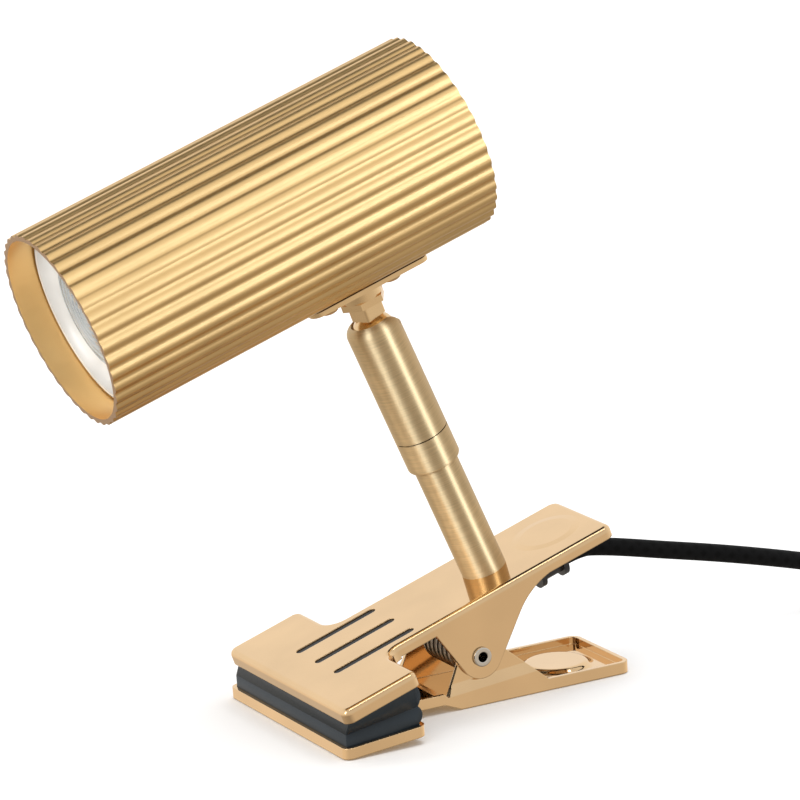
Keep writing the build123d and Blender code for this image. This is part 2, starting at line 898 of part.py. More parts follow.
save(ball_seat, "ball_seat")

# Stub: ball, square neck, hex flange and threaded stud in one piece, bored for the wires
with BuildPart() as swivel_stub:
    with Locations(ball_centre):
        Sphere(ball_radius)
    with BuildSketch(neck):
        Circle(neck_side / 2)
    extrude(amount=neck_start)
    with BuildSketch(neck.offset(neck_start)):
        RectangleRounded(neck_side, neck_side, neck_corner, rotation=neck_turn)
    extrude(amount=flange_low - neck_start)
    with BuildSketch(neck.offset(flange_low)):
        hexagon(hex_flats)
    extrude(amount=hex_thick)
    with BuildSketch(neck.offset(boss_low)):
        Circle(stud_radius)
    extrude(amount=stud_length)
    with BuildSketch(neck.offset(-ball_radius)):
        Circle(wire_bore)
    extrude(amount=sleeve_length + stud_length, mode=Mode.SUBTRACT)
save(swivel_stub, "swivel_stub")

# Bracket under the shade, with its boss washer and two screws
with BuildPart() as boss_washer:
    with BuildSketch(neck.offset(boss_low)):
        Circle(boss_radius)
        Circle(stud_radius + fit, mode=Mode.SUBTRACT)
    extrude(amount=boss_thick)
save(boss_washer, "boss_washer")
with BuildPart() as bracket_plate:
    with BuildSketch(neck.offset(bracket_low)):
        with Locations((bracket_shift, 0)):
            RectangleRounded(bracket_length, bracket_width, bracket_corner)
        Circle(stud_radius + fit, mode=Mode.SUBTRACT)
        with GridLocations(screw_pitch, 0, 2, 1):
            Circle(screw_radius + fit, mode=Mode.SUBTRACT)
    extrude(amount=bracket_thick)
save(bracket_plate, "bracket_plate")
with BuildPart() as bracket_screws:
    with BuildSketch(neck.offset(bracket_low)):
        with GridLocations(screw_pitch, 0, 2, 1):
            Circle(screw_head_radius)
    extrude(amount=-screw_head)
    rims = bracket_screws.edges().filter_by(GeomType.CIRCLE).group_by(neck_axis)[0]
    fillet(rims, screw_head / 2)
    with BuildSketch(neck.offset(bracket_low)):
        with GridLocations(screw_pitch, 0, 2, 1):
            Circle(screw_radius)
    extrude(amount=screw_length)
save(bracket_screws, "bracket_screws")

# Shade: a tube fluted all round, drilled under its rear half for the stud and screws
flute_step = 360 / flute_count
ridge_half = ridge_share * flute_step / 2
foot_radius = shade_radius - ridge_foot * flute_depth
with BuildPart() as shade_tube:
    with BuildSketch(head):
        with BuildLine():
            for flute in range(flute_count):
                middle = flute * flute_step
                ThreePointArc(
                    polar(foot_radius, middle - ridge_half),
                    polar(shade_radius, middle),
                    polar(foot_radius, middle + ridge_half),
                )
                ThreePointArc(
                    polar(foot_radius, middle + ridge_half),
                    polar(shade_radius - flute_depth, middle + flute_step / 2),
                    polar(foot_radius, middle + flute_step - ridge_half),
                )
        make_face()
        Circle(shade_bore, mode=Mode.SUBTRACT)
    extrude(amount=shade_length)
    with BuildSketch(neck.offset(head_height - shade_radius)):
        Circle(stud_radius + fit)
        with GridLocations(screw_pitch, 0, 2, 1):
            Circle(screw_radius + fit)
    extrude(amount=shade_radius, mode=Mode.SUBTRACT)
save(shade_tube, "shade_tube")

cap_back = shade_length - cap_inset
cap_radius = shade_bore - fit
rear_cap = turned(
    [
        (cap_back, switch_radius),
        (cap_back, cap_radius),
        (cap_back - cap_skirt, cap_radius),
        (cap_back - cap_skirt, cap_radius - cap_wall),
        (cap_back - cap_thick, cap_radius - cap_wall),
        (cap_back - cap_thick, switch_radius),
    ],
    head_side,
    head_axis,
)
save(rear_cap, "rear_cap")

# Push switch in the rear cap: body with a rim, ring nut and button
button_hole = button_radius + ball_clearance
button_floor = cap_back - button_depth - button_travel - seam_gap
with BuildPart() as switch_body:
    with BuildSketch(head.offset(cap_back - switch_depth)):
        Circle(switch_radius - fit)
    extrude(amount=switch_depth)
    with BuildSketch(head.offset(cap_back)):
        Circle(switch_rim_radius)
    extrude(amount=switch_rim)
    rim_edge = switch_body.edges().filter_by(GeomType.CIRCLE).sort_by(head_axis)[-1]
    fillet(rim_edge, switch_rim / 2)
    with BuildSketch(head.offset(button_floor)):
        Circle(button_hole)
    extrude(amount=switch_depth, mode=Mode.SUBTRACT)
save(switch_body, "switch_body")
with BuildPart() as switch_nut:
    with BuildSketch(head.offset(cap_back - cap_thick)):
        hexagon(switch_nut_flats)
        Circle(switch_radius, mode=Mode.SUBTRACT)
    extrude(amount=-switch_nut_thick)
save(switch_nut, "switch_nut")
with BuildPart() as switch_button:
    with BuildSketch(head.offset(cap_back - button_depth)):
        Circle(button_radius)
    extrude(amount=button_depth + switch_rim + button_rise)
    button_edge = switch_button.edges().filter_by(GeomType.CIRCLE).sort_by(head_axis)[-1]
    fillet(button_edge, button_round)
save(switch_button, "switch_button")

# Bulb: a reflector lamp with a rim, a hollow ring, a domed lens and two bayonet pins
bulb_back = bulb_inset + bulb_length
lens_floor = bulb_inset + lens_seat
lens_edge = lens_radius + fit
with BuildPart() as bulb_body:
    with BuildSketch(head_side):
        with BuildLine():
            ThreePointArc(
                (bulb_inset, bulb_radius - bulb_rim),
                (bulb_inset + bulb_valley, (bulb_radius - bulb_rim + lens_edge) / 2),
                (bulb_inset + bulb_rim, lens_edge),
            )
            Polyline(
                (bulb_inset + bulb_rim, lens_edge),
                (lens_floor, lens_edge),
                (lens_floor, 0),
                (bulb_back, 0),
                (bulb_back, bulb_neck_radius),
                (bulb_inset + bulb_neck_start, bulb_neck_radius),
                (bulb_inset + bulb_rim_depth, bulb_radius),
                (bulb_inset, bulb_radius),
                (bulb_inset, bulb_radius - bulb_rim),
            )
        make_face()
    revolve(axis=head_axis)
save(bulb_body, "bulb_body")
with BuildPart() as bulb_lens:
    lens_front = lens_floor - lens_crown
    lens_sag = bulb_inset + bulb_rim - lens_front
    lens_curve = (lens_radius**2 + lens_sag**2) / (2 * lens_sag)
    half_sag = lens_curve - math.sqrt(lens_curve**2 - (lens_radius / 2) ** 2)
    with BuildSketch(head_side):
        with BuildLine():
            ThreePointArc(
                (bulb_inset + bulb_rim, lens_radius),
                (lens_front + half_sag, lens_radius / 2),
                (lens_front, 0),
            )
            Polyline(
                (lens_front, 0),
                (lens_floor, 0),
                (lens_floor, lens_radius),
                (bulb_inset + bulb_rim, lens_radius),
            )
        make_face()
    revolve(axis=head_axis)
save(bulb_lens, "bulb_lens")
with BuildPart() as bulb_pins:
    with BuildSketch(head.offset(bulb_back)):
        with GridLocations(pin_pitch, 0, 2, 1):
            Circle(pin_shank_radius)
    extrude(amount=pin_length)
    with BuildSketch(head.offset(bulb_back + pin_length - pin_head)):
        with GridLocations(pin_pitch, 0, 2, 1):
            Circle(pin_head_radius)
    extrude(amount=pin_head)
save(bulb_pins, "bulb_pins")

# Lamp holder with its contacts, on an upright strip that the bracket screws hold
holder_front = bulb_back + holder_gap
holder_back = holder_front + holder_length
with BuildPart() as lamp_holder:
    with BuildSketch(head.offset(holder_front)):
        Circle(holder_radius)
    extrude(amount=holder_length)
    with BuildSketch(head.offset(holder_front)):
        with GridLocations(pin_pitch, 0, 2, 1):
            Circle(pocket_radius)
    extrude(amount=pocket_depth, mode=Mode.SUBTRACT)
    with BuildSketch(head.offset(holder_back)):
        Circle(holder_cavity)
        with GridLocations(0, holder_screw_pitch, 1, 2):
            Circle(holder_screw_radius + fit)
    extrude(amount=-holder_cavity_depth, mode=Mode.SUBTRACT)
save(lamp_holder, "lamp_holder")
contact_front = bulb_back + pin_length
with BuildPart() as holder_contacts:
    with BuildSketch(head.offset(contact_front)):
        with GridLocations(pin_pitch, 0, 2, 1):
            Circle(pocket_radius - fit)
    extrude(amount=min(contact_thick, holder_front + pocket_depth - contact_front))
save(holder_contacts, "holder_contacts")

strip_low = -math.sqrt(shade_bore**2 - (strip_width / 2) ** 2) + fit
strip_top = strip_low + strip_thick
with BuildPart() as holder_strip:
    with BuildSketch(head_side):
        with BuildLine():
            Polyline(
                (strip_front, strip_low),
                (strip_back, strip_low),
                (strip_back, strip_top),
                (holder_back + strip_thick, strip_top),
                (holder_back + strip_thick, upright_top),
                (holder_back, upright_top),
                (holder_back, strip_top),
                (strip_front, strip_top),
                close=True,
            )
        make_face()
    extrude(amount=strip_width / 2, both=True)
    with BuildSketch(head.offset(holder_back)):
        Circle(holder_cavity - strip_thick)
        with GridLocations(0, holder_screw_pitch, 1, 2):
            Circle(holder_screw_radius + fit)
    extrude(amount=strip_thick, mode=Mode.SUBTRACT)
    with BuildSketch(neck.offset(head_height + strip_low)):
        Circle(stud_radius + fit)
        with GridLocations(screw_pitch, 0, 2, 1):
            Circle(screw_radius + fit)
    extrude(amount=strip_thick, mode=Mode.SUBTRACT)
save(holder_strip, "holder_strip")
with BuildPart() as holder_screws:
    with BuildSketch(head.offset(holder_back + strip_thick)):
        with GridLocations(0, holder_screw_pitch, 1, 2):
            Circle(holder_screw_head_radius)
    extrude(amount=screw_head)
    with BuildSketch(head.offset(holder_back + strip_thick)):
        with GridLocations(0, holder_screw_pitch, 1, 2):
            Circle(holder_screw_radius)
    extrude(amount=-holder_cavity_depth)
save(holder_screws, "holder_screws")

lock_low = head_height + strip_top
with BuildPart() as stub_washer:
    with BuildSketch(neck.offset(lock_low)):
        Circle(nut_flats / 2)
        Circle(stud_radius + fit, mode=Mode.SUBTRACT)
    extrude(amount=washer_thick)
save(stub_washer, "stub_washer")
with BuildPart() as stub_nut:
    with BuildSketch(neck.offset(lock_low + washer_thick)):
        hexagon(nut_flats)
        Circle(stud_radius + fit, mode=Mode.SUBTRACT)
    extrude(amount=nut_thick)
save(stub_nut, "stub_nut")


def wire_pair(frame, points, bend):
    """Two insulated wires side by side along one route of along and up places in a frame."""
    with BuildPart() as pair:
        for side in (-1, 1):
            route = [frame.from_local_coords(Vector(x, side * wire_half_pitch, z)) for x, z in points]
            with BuildLine():
                FilletPolyline(*route, radius=bend)
            with BuildSketch(Plane(origin=route[0], z_dir=route[1] - route[0])):
                Circle(wire_radius)
            sweep()
    return pair


wire_end = holder_back - holder_cavity_depth + wire_turn - stub_from_front
wire_high = head_height - wire_turn
head_wires = wire_pair(neck, [(0, ball_radius), (0, wire_high), (wire_end, wire_high)], wire_turn)
save(head_wires, "head_wires")
grip_place = arm.to_local_coords(on_plate(grip_start, 0, -grip_drop))
grip_near = arm.to_local_coords(on_plate(arm_along + wire_reach, 0, -grip_drop))
arm_wires = wire_pair(
    arm,
    [
        (grip_place.X, grip_place.Z),
        (grip_near.X, grip_near.Z),
        (wire_turn, grip_near.Z - wire_sag),
        (0, grip_near.Z - wire_turn / 2),
        (0, seat_low),
    ],
    wire_turn / 2,
)
save(arm_wires, "arm_wires")

# Cord grip: a spool-shaped bush on two feet under the upper handle
grip_axis = on_plate(grip_start, 0, -grip_drop)
grip = Plane(origin=grip_axis, x_dir=(0, 1, 0), z_dir=plate.x_dir)
grip_length = grip_end - grip_start
with BuildPart() as cord_grip:
    with BuildSketch(grip):
        Circle(grip_radius)
    extrude(amount=grip_length)
    for start in (0, grip_length - grip_flange_thick):
        with BuildSketch(grip.offset(start)):
            Circle(grip_flange_radius)
            with Locations((0, (grip_drop - sheet) / 2)):
                Rectangle(2 * grip_flange_radius, grip_drop - sheet)
        extrude(amount=grip_flange_thick)
    with BuildSketch(grip):
        Circle(cord_radius + fit)
    extrude(amount=grip_length, mode=Mode.SUBTRACT)
save(cord_grip, "cord_grip")
with BuildPart() as cord_lead:
    with BuildSketch(grip.offset(fit)):
        Circle(cord_radius)
    extrude(amount=grip_length - fit)
save(cord_lead, "cord_lead")


def cord_radii(route):
    """Radius at each inner point of a cord's route, as large as its two runs allow."""
    radii = []
    for before, here, after in zip(route, route[1:], route[2:]):
        shorter = min((here - before).length, (after - here).length)
        half_turn = math.radians((here - before).get_angle(after - here)) / 2
        radii.append(bend_share * shorter / math.tan(half_turn))
    return radii


def cord_tube(route):
    """Cord along straight runs that tangent arcs join, with its radii and volume printed."""
    radii = cord_radii(route)
    with BuildPart() as tube:
        with BuildLine() as path:
            FilletPolyline(*route, radius=radii)
        with BuildSketch(Plane(origin=route[0], z_dir=route[1] - route[0])):
            Circle(cord_radius)
        sweep()
    wanted = math.pi * cord_radius**2 * sum(edge.length for edge in path.edges())
    print("cord radii", [round(radius, 1) for radius in radii])
    print("cord volume", round(tube.part.volume, 1), "wanted", round(wanted, 1))
    return tube


# Coil of the cord's spare length: it spirals in along the table and out again on top
coil_centre = Vector(jaw_front + coil_entry, coil_far_side - coil_outer, coil_height)
climb_start = (coil_turns - climb_turns) / 2


def coil_place(turn):
    """Middle of the cord after a number of turns of the coil."""
    from_inside = math.sqrt((turn - coil_turns / 2) ** 2 + reverse_ease)
    radius = coil_outer - coil_pitch * (coil_turns / 2 - from_inside)
    climb = min(max((turn - climb_start) / climb_turns, 0), 1)
    lift = coil_layer * (1 - math.cos(math.pi * climb)) / 2
    across, along = polar(radius, 90 - 360 * turn)
    return coil_centre + Vector(across, along, lift)


with BuildPart() as cord_coil:
    with BuildLine():
        begin, finish = add_curve(coil_place, 0, coil_turns, round(arcs_per_turn * coil_turns))
        coil_start = begin[0] - begin[1] * 2 * cord_radius
        coil_end = finish[0] + finish[1] * 2 * cord_radius
        Line(coil_start, begin[0])
        Line(finish[0], coil_end)
    with BuildSketch(Plane(origin=coil_start, z_dir=begin[1])):
        Circle(cord_radius)
    sweep()
save(cord_coil, "cord_coil")
print("coil gap", round(least_gap(coil_place, 0, coil_turns, cord_radius), 3))

# Free cord: out of the grip, over and down to the table, where the coil goes on
run_places = [
    (98.8, 0, 32.1),
    (106.5, 0, 30.4),
    (118.0, 0, 27.5),
    (135.0, 0, 23.4),
    (154.0, 0.5, 18.2),
    (172.0, 4.0, 12.3),
    (188.0, 11.5, 7.6),
    (204.0, 22.3, 4.7),
]
route = [on_plate(grip_end + seam_gap, 0, -grip_drop), on_plate(grip_end + first_run, 0, -grip_drop)]
route += [Vector(jaw_front + along, across, up) for along, across, up in run_places]
route += [coil_start - begin[1] * last_run, coil_start]
cord_run = cord_tube(route)
save(cord_run, "cord_run")

# Tie round the coil
coil_inner = coil_place(coil_turns / 2) - coil_centre
tie_near = math.hypot(coil_inner.X, coil_inner.Y) - cord_radius - 3 * tie_clearance
tie_far = coil_outer + cord_radius + tie_clearance
tie_high = coil_height + coil_layer + cord_radius + tie_clearance
tie_low = coil_height - cord_radius - tie_clearance / 4
with BuildPart() as coil_tie:
    with BuildSketch(Plane(origin=(coil_centre.X, coil_centre.Y, 0), x_dir=(0, -1, 0), z_dir=(-1, 0, 0))):
        with Locations(((tie_near + tie_far) / 2, (tie_low + tie_high) / 2)):
            Rectangle(tie_far - tie_near + 2 * tie_thick, tie_high - tie_low + 2 * tie_thick)
            Rectangle(tie_far - tie_near, tie_high - tie_low, mode=Mode.SUBTRACT)
    extrude(amount=tie_width / 2, both=True)
    fillet(coil_tie.edges().filter_by(Axis.X), tie_thick / 2)
save(coil_tie, "coil_tie")

# Tail of the cord, down from the coil to the plug beside it
tail_places = [
    (273.0, 28.0, 8.0),
    (285.0, 20.3, 7.1),
    (plug_start - tail_last_run, plug_across, plug_height / 2),
    (plug_start + plug_grip, plug_across, plug_height / 2),
]
tail_route = [coil_end, coil_end + finish[1] * tail_first_run]
tail_route += [Vector(jaw_front + along, across, up) for along, across, up in tail_places]
cord_tail = cord_tube(tail_route)
save(cord_tail, "cord_tail")

# Plug: a moulded wedge with two round pins
plug = Plane((jaw_front + plug_start, plug_across, 0))
plug_axis = Plane(
    origin=(jaw_front + plug_start, plug_across, plug_height / 2), x_dir=(0, 1, 0), z_dir=(1, 0, 0)
)
with BuildPart() as plug_body:
    with BuildSketch(plug):
        with BuildLine():
            FilletPolyline(
                (0, -plug_nose / 2),
                (plug_taper, -plug_width / 2),
                (plug_length, -plug_width / 2),
                (plug_length, plug_width / 2),
                (plug_taper, plug_width / 2),
                (0, plug_nose / 2),
                radius=plug_round,
                close=True,
            )
        make_face()
    extrude(amount=plug_height)
    fillet(plug_body.faces().filter_by(Axis.Z).edges(), plug_round)
    with BuildSketch(plug_axis):
        Circle(cord_radius + fit)
    extrude(amount=plug_grip + fit, mode=Mode.SUBTRACT)
    with BuildSketch(plug_axis.offset(plug_length)):
        with GridLocations(prong_pitch, 0, 2, 1):
            Circle(prong_root_radius + fit)
    extrude(amount=-plug_grip, mode=Mode.SUBTRACT)
save(plug_body, "plug_body")
with BuildPart() as plug_pins:
    with BuildSketch(plug_axis.offset(plug_length - plug_grip)):
        with GridLocations(prong_pitch, 0, 2, 1):
            Circle(prong_root_radius)
    extrude(amount=plug_grip + prong_root)
    with BuildSketch(plug_axis.offset(plug_length + prong_root)):
        with GridLocations(prong_pitch, 0, 2, 1):
            Circle(prong_radius)
    extrude(amount=prong_length - prong_root)
    tips = plug_pins.edges().filter_by(GeomType.CIRCLE).group_by(Axis.X)[-1]
    fillet(tips, prong_radius / 2)
save(plug_pins, "plug_pins")
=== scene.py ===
"""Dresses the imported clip-on reading lamp: finishes, bulb, spring, cord and a white studio."""

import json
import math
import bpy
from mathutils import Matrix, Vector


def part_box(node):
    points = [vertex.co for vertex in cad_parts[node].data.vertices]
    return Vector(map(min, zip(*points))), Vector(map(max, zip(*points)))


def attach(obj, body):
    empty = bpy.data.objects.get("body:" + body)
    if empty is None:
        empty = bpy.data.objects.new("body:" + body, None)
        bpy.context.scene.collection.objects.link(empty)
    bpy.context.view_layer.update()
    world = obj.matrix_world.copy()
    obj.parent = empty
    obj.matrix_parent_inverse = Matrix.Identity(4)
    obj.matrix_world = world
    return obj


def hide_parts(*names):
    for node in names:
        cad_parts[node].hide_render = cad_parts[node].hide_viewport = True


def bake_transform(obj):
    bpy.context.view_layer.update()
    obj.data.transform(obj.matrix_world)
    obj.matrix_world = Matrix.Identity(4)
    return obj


bl_info = {
    "name": "Clip-on reading lamp",
    "version": (1, 0, 0),
    "blender": (4, 5, 0),
    "location": "View3D > Sidebar > Lamp",
    "description": "Finishes and soft pieces of a clip-on reading lamp around its packed solids",
    "category": "Object",
}

import bmesh
import bpy
from bpy.props import FloatProperty, FloatVectorProperty, IntProperty, PointerProperty
from mathutils import Matrix, Vector
from mathutils.bvhtree import BVHTree

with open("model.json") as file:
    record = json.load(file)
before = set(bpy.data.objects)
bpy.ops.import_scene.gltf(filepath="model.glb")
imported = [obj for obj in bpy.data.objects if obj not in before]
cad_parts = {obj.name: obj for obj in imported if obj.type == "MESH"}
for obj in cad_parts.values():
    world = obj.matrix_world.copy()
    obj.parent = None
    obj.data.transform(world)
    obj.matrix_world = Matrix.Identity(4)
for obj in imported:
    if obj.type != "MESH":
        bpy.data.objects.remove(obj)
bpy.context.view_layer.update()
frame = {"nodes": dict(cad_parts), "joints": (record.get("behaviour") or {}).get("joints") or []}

MM = 0.001
JOINTS = {joint["name"]: joint for joint in frame["joints"]}
PIVOT = Vector(JOINTS["clip_open"]["pos_m"])
ARM_FOOT = Vector(JOINTS["head_swivel"]["pos_m"])
ARM_UP = Vector(JOINTS["head_swivel"]["axis"]).normalized()
PLATE_ALONG = -Vector(JOINTS["switch_press"]["axis"]).normalized()
PLATE_UP = Vector((-PLATE_ALONG.z, 0.0, PLATE_ALONG.x))
ARM_TURN = math.atan2(ARM_UP.x, ARM_UP.z)
HEAD_TURN = math.atan2(PLATE_UP.x, PLATE_UP.z)
JAW_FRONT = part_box("lower_plate")[0].x
SHADE_BORE = 0.0258
PLATE_FRONT = ARM_FOOT - PLATE_ALONG * ((ARM_FOOT.x - JAW_FRONT) / PLATE_ALONG.x)


def on_plate(along, across, up):
    """Point along, across and above the upper clip plate's top face, from millimetres."""
    start = PLATE_FRONT + PLATE_ALONG * along * MM + PLATE_UP * up * MM
    return start + Vector((0.0, across * MM, 0.0))


def from_jaw(along, across, up):
    """Point behind the jaw's front edge, across and above the table, from millimetres."""
    return Vector((JAW_FRONT + along * MM, across * MM, up * MM))


def colour(label, words, default):
    """Colour setting with its name and description."""
    return FloatVectorProperty(
        name=label, description=words, subtype="COLOR", size=3, min=0, max=1, default=default
    )


def share(label, words, default):
    """Setting between 0 and 1."""
    return FloatProperty(
        name=label, description=words, subtype="FACTOR", min=0, max=1, default=default
    )


def length(label, words, default):
    """Length setting in metres."""
    return FloatProperty(
        name=label, description=words, subtype="DISTANCE", unit="LENGTH", min=0, default=default
    )


def power(label, words, default):
    """Power setting of a light in watts."""
    return FloatProperty(name=label, description=words, subtype="POWER", min=0, default=default)


class LampMetal(bpy.types.PropertyGroup):
    """Metal finishes of the lamp."""

    plate_gold: colour("Clip gold", "Polished gold of the clip plates", (0.775, 0.535, 0.295))
    plate_gloss: share("Clip roughness", "Roughness of the polished clip", 0.07)
    shade_gold: colour("Shade gold", "Satin gold of the fluted shade", (0.8, 0.54, 0.24))
    # Lighter gold of the shade's inside: partly a lacquered lining, partly painted light where
    # little light reaches in
    inside_gold_with_painted_light: colour("Shade inside", "Lacquered inside of the shade", (0.95, 0.65, 0.29))
    rim_gold: colour("Shade rim", "Duller cut end of the shade's mouth", (0.42, 0.26, 0.135))
    shade_gloss: share("Shade roughness", "Roughness of the satin shade", 0.36)
    arm_brass: colour("Arm brass", "Brushed brass of the arm", (0.61, 0.44, 0.235))
    arm_gloss: share("Arm roughness", "Roughness of the brushed arm", 0.52)
    neck_brass: colour("Neck brass", "Plain brass of the neck and bracket", (0.76, 0.53, 0.28))
    nickel: colour("Nickel", "Bright nickel of the rivet and screws", (0.62, 0.57, 0.50))
    # Warmer than bare steel: the warm tone is partly a painted reflection of the gold clip around
    # the spring
    steel: colour("Spring steel", "Drawn wire of the spring", (0.55, 0.45, 0.34))
    zinc: colour("Zinc plate", "Hidden nuts, washers and strip", (0.52, 0.53, 0.54))


class LampTrim(bpy.types.PropertyGroup):
    """Rubber, plastic and bulb finishes."""

    rubber: colour("Rubber", "Jaw pads", (0.009, 0.017, 0.024))
    pad_round: length("Pad edge", "Rounding of the jaw pads' edges", 0.0002)
    plastic: colour("Black plastic", "Grip, switch and plug", (0.018, 0.018, 0.020))
    cord_black: colour("Cord", "Braided cord", (0.0012, 0.0012, 0.0013))
    bulb_white: colour("Bulb", "Bulb housing", (0.55, 0.54, 0.515))
    lens_grey: colour("Lens", "Bulb lens", (0.80, 0.86, 0.88))


class LampCord(bpy.types.PropertyGroup):
    """Cord and spring sizes."""

    cord_radius: length("Cord radius", "Half of the cord's thickness", 0.0025)
    wire_radius: length("Wire radius", "Half of the spring wire's thickness", 0.001)
    braid_count: IntProperty(name="Braid strands", description="Strands round the cord", default=16)
    sleeve_length: length("Plug sleeve", "Length of the ribbed sleeve behind the plug", 0.022)


class LampStudio(bpy.types.PropertyGroup):
    """Studio light and camera."""

    arm_power: power("Arm strips", "Power of the strips on the arm", 18.0)
    side_power: power("Arm side", "Power of the broad light beside the arm", 6.5)
    edge_power: power("Clip edges", "Power of the strip in the clip's bent edges", 2.3)
    corner_power: power("Clip corners", "Power of the strip in the clip's corners", 3.5)
    shade_power: power("Shade strip", "Power of the strip on the shade", 4.7)
    low_power: power("Low strip", "Power of the strip under the shade", 0.028)
    fill_power: power("Shade fill", "Power of the fill over the shade", 0.9)
    mouth_power: power("Mouth light", "Power into the shade's mouth", 9.5)
    top_power: power("Top light", "Power over the floor", 33.0)
    room: FloatProperty(name="Room light", description="Strength of the white room", default=1.05)
    lens: FloatProperty(
        name="Lens", description="Focal length", subtype="DISTANCE_CAMERA", default=232.3
    )


FINE_DETAIL = 4.0
BROAD_DETAIL = 2.0
METAL_PATCH = 0.018
PLAIN_PATCH = 0.012
GRAIN_STRENGTH = 0.3
WAVE_STRENGTH = 0.4
QUARTER_TURN = 0.25


def settings():
    """The open scene, which holds the lamp's settings."""
    return bpy.context.scene


def opened(material):
    """Node tree and shader of a finish."""
    tree = material.node_tree
    return tree, tree.nodes["Principled BSDF"]


def new_finish(name):
    """Empty finish with its node tree and shader."""
    material = bpy.data.materials.new(name)
    material.use_nodes = True
    return material, *opened(material)


def add_node(tree, kind, **values):
    """New node with some of its inputs or settings filled in."""
    node = tree.nodes.new(kind)
    for key, value in values.items():
        if key in node.inputs:
            node.inputs[key].default_value = value
        else:
            setattr(node, key, value)
    return node


def even(size):
    """Grain cell of one size along every axis."""
    return (size, size, size)


def grain(tree, cell, detail, turn=0.0):
    """Noise with cells of a size in metres, in axes turned about Y."""
    place = add_node(tree, "ShaderNodeTexCoord")
    mapping = add_node(tree, "ShaderNodeMapping", vector_type="TEXTURE")
    mapping.inputs["Rotation"].default_value = (0.0, turn, 0.0)
    mapping.inputs["Scale"].default_value = cell
    noise = add_node(tree, "ShaderNodeTexNoise", Scale=1.0, Detail=detail)
    tree.links.new(place.outputs["Object"], mapping.inputs["Vector"])
    tree.links.new(mapping.outputs["Vector"], noise.inputs["Vector"])
    return noise.outputs["Fac"]


def from_axis(tree):
    """Distance of a point of the head from the shade's axis."""
    low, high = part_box("bulb_lens")
    place = add_node(tree, "ShaderNodeTexCoord")
    shift = add_node(tree, "ShaderNodeVectorMath", operation="SUBTRACT")
    shift.inputs[1].default_value = (low + high) / 2
    across = add_node(tree, "ShaderNodeVectorMath", operation="CROSS_PRODUCT")
    across.inputs[1].default_value = PLATE_ALONG
    reach = add_node(tree, "ShaderNodeVectorMath", operation="LENGTH")
    tree.links.new(place.outputs["Object"], shift.inputs[0])
    tree.links.new(shift.outputs["Vector"], across.inputs[0])
    tree.links.new(across.outputs["Vector"], reach.inputs[0])
    return reach.outputs["Value"]


def spread(tree, source, low, high, start=0.0, end=1.0):
    """Map a value that runs from start to end onto a range."""
    ranger = add_node(tree, "ShaderNodeMapRange")
    ranger.inputs["From Min"].default_value = start
    ranger.inputs["From Max"].default_value = end
    ranger.inputs["To Min"].default_value = low
    ranger.inputs["To Max"].default_value = high
    tree.links.new(source, ranger.inputs["Value"])
    return ranger.outputs["Result"]


def tint(tree, source, dark, light):
    """Colour that runs between two tints with a 0 to 1 value."""
    ramp = add_node(tree, "ShaderNodeValToRGB")
    ramp.color_ramp.elements[0].position = 0.3
    ramp.color_ramp.elements[1].position = 0.7
    ramp.color_ramp.elements[0].color = (*dark, 1)
    ramp.color_ramp.elements[1].color = (*light, 1)
    tree.links.new(source, ramp.inputs["Fac"])
    return ramp.outputs["Color"]


def add_bump(tree, shader, source, strength, depth):
    """Bump from a value, on the shader's normal."""
    bump = add_node(tree, "ShaderNodeBump", Strength=strength, Distance=depth)
    tree.links.new(source, bump.inputs["Height"])
    tree.links.new(bump.outputs["Normal"], shader.inputs["Normal"])


def scaled(tone, factor):
    """Tone made lighter or darker."""
    return tuple(min(1.0, part * factor) for part in tone)


def metal_finish(name, tone, gloss, cell, depth, turn=0.0, wave=0.0, streak=0.0):
    """Metal with grain in its roughness and surface, slow changes of tint, and any streaks."""
    material, tree, shader = new_finish(name)
    shader.inputs["Metallic"].default_value = 1.0
    fine = grain(tree, cell, FINE_DETAIL, turn)
    broad = grain(tree, even(METAL_PATCH), BROAD_DETAIL)
    tree.links.new(spread(tree, fine, gloss * 0.75, gloss * 1.25), shader.inputs["Roughness"])
    surface = tint(tree, broad, scaled(tone, 0.95), scaled(tone, 1.04))
    if streak:
        lines = add_node(tree, "ShaderNodeVectorMath", operation="SCALE")
        tree.links.new(surface, lines.inputs["Vector"])
        tree.links.new(spread(tree, fine, 1 - streak, 1 + streak), lines.inputs["Scale"])
        surface = lines.outputs["Vector"]
    tree.links.new(surface, shader.inputs["Base Color"])
    add_bump(tree, shader, fine, GRAIN_STRENGTH, depth)
    if wave:
        slow = add_node(tree, "ShaderNodeBump", Strength=WAVE_STRENGTH, Distance=wave)
        tree.links.new(broad, slow.inputs["Height"])
        bump = shader.inputs["Normal"].links[0].from_node
        tree.links.new(slow.outputs["Normal"], bump.inputs["Normal"])
    return material


def brush(material, axis, share_along):
    """Stretch a metal's reflections along an axis, as turned or brushed metal does."""
    tree, shader = opened(material)
    place = add_node(tree, "ShaderNodeTexCoord")
    across = add_node(tree, "ShaderNodeVectorMath", operation="CROSS_PRODUCT")
    across.inputs[1].default_value = axis
    turn = add_node(tree, "ShaderNodeVectorTransform", vector_type="VECTOR")
    turn.convert_from = "OBJECT"
    turn.convert_to = "WORLD"
    tree.links.new(place.outputs["Normal"], across.inputs[0])
    tree.links.new(across.outputs["Vector"], turn.inputs["Vector"])
    tree.links.new(turn.outputs["Vector"], shader.inputs["Tangent"])
    shader.inputs["Anisotropic"].default_value = share_along
    shader.inputs["Anisotropic Rotation"].default_value = QUARTER_TURN


def soften(material, radius):
    """Let a metal's edges catch the light over a small radius."""
    tree, shader = opened(material)
    edge = add_node(tree, "ShaderNodeBevel", Radius=radius, samples=6)
    bump = shader.inputs["Normal"].links[0].from_node
    while bump.inputs["Normal"].links:
        bump = bump.inputs["Normal"].links[0].from_node
    tree.links.new(edge.outputs["Normal"], bump.inputs["Normal"])


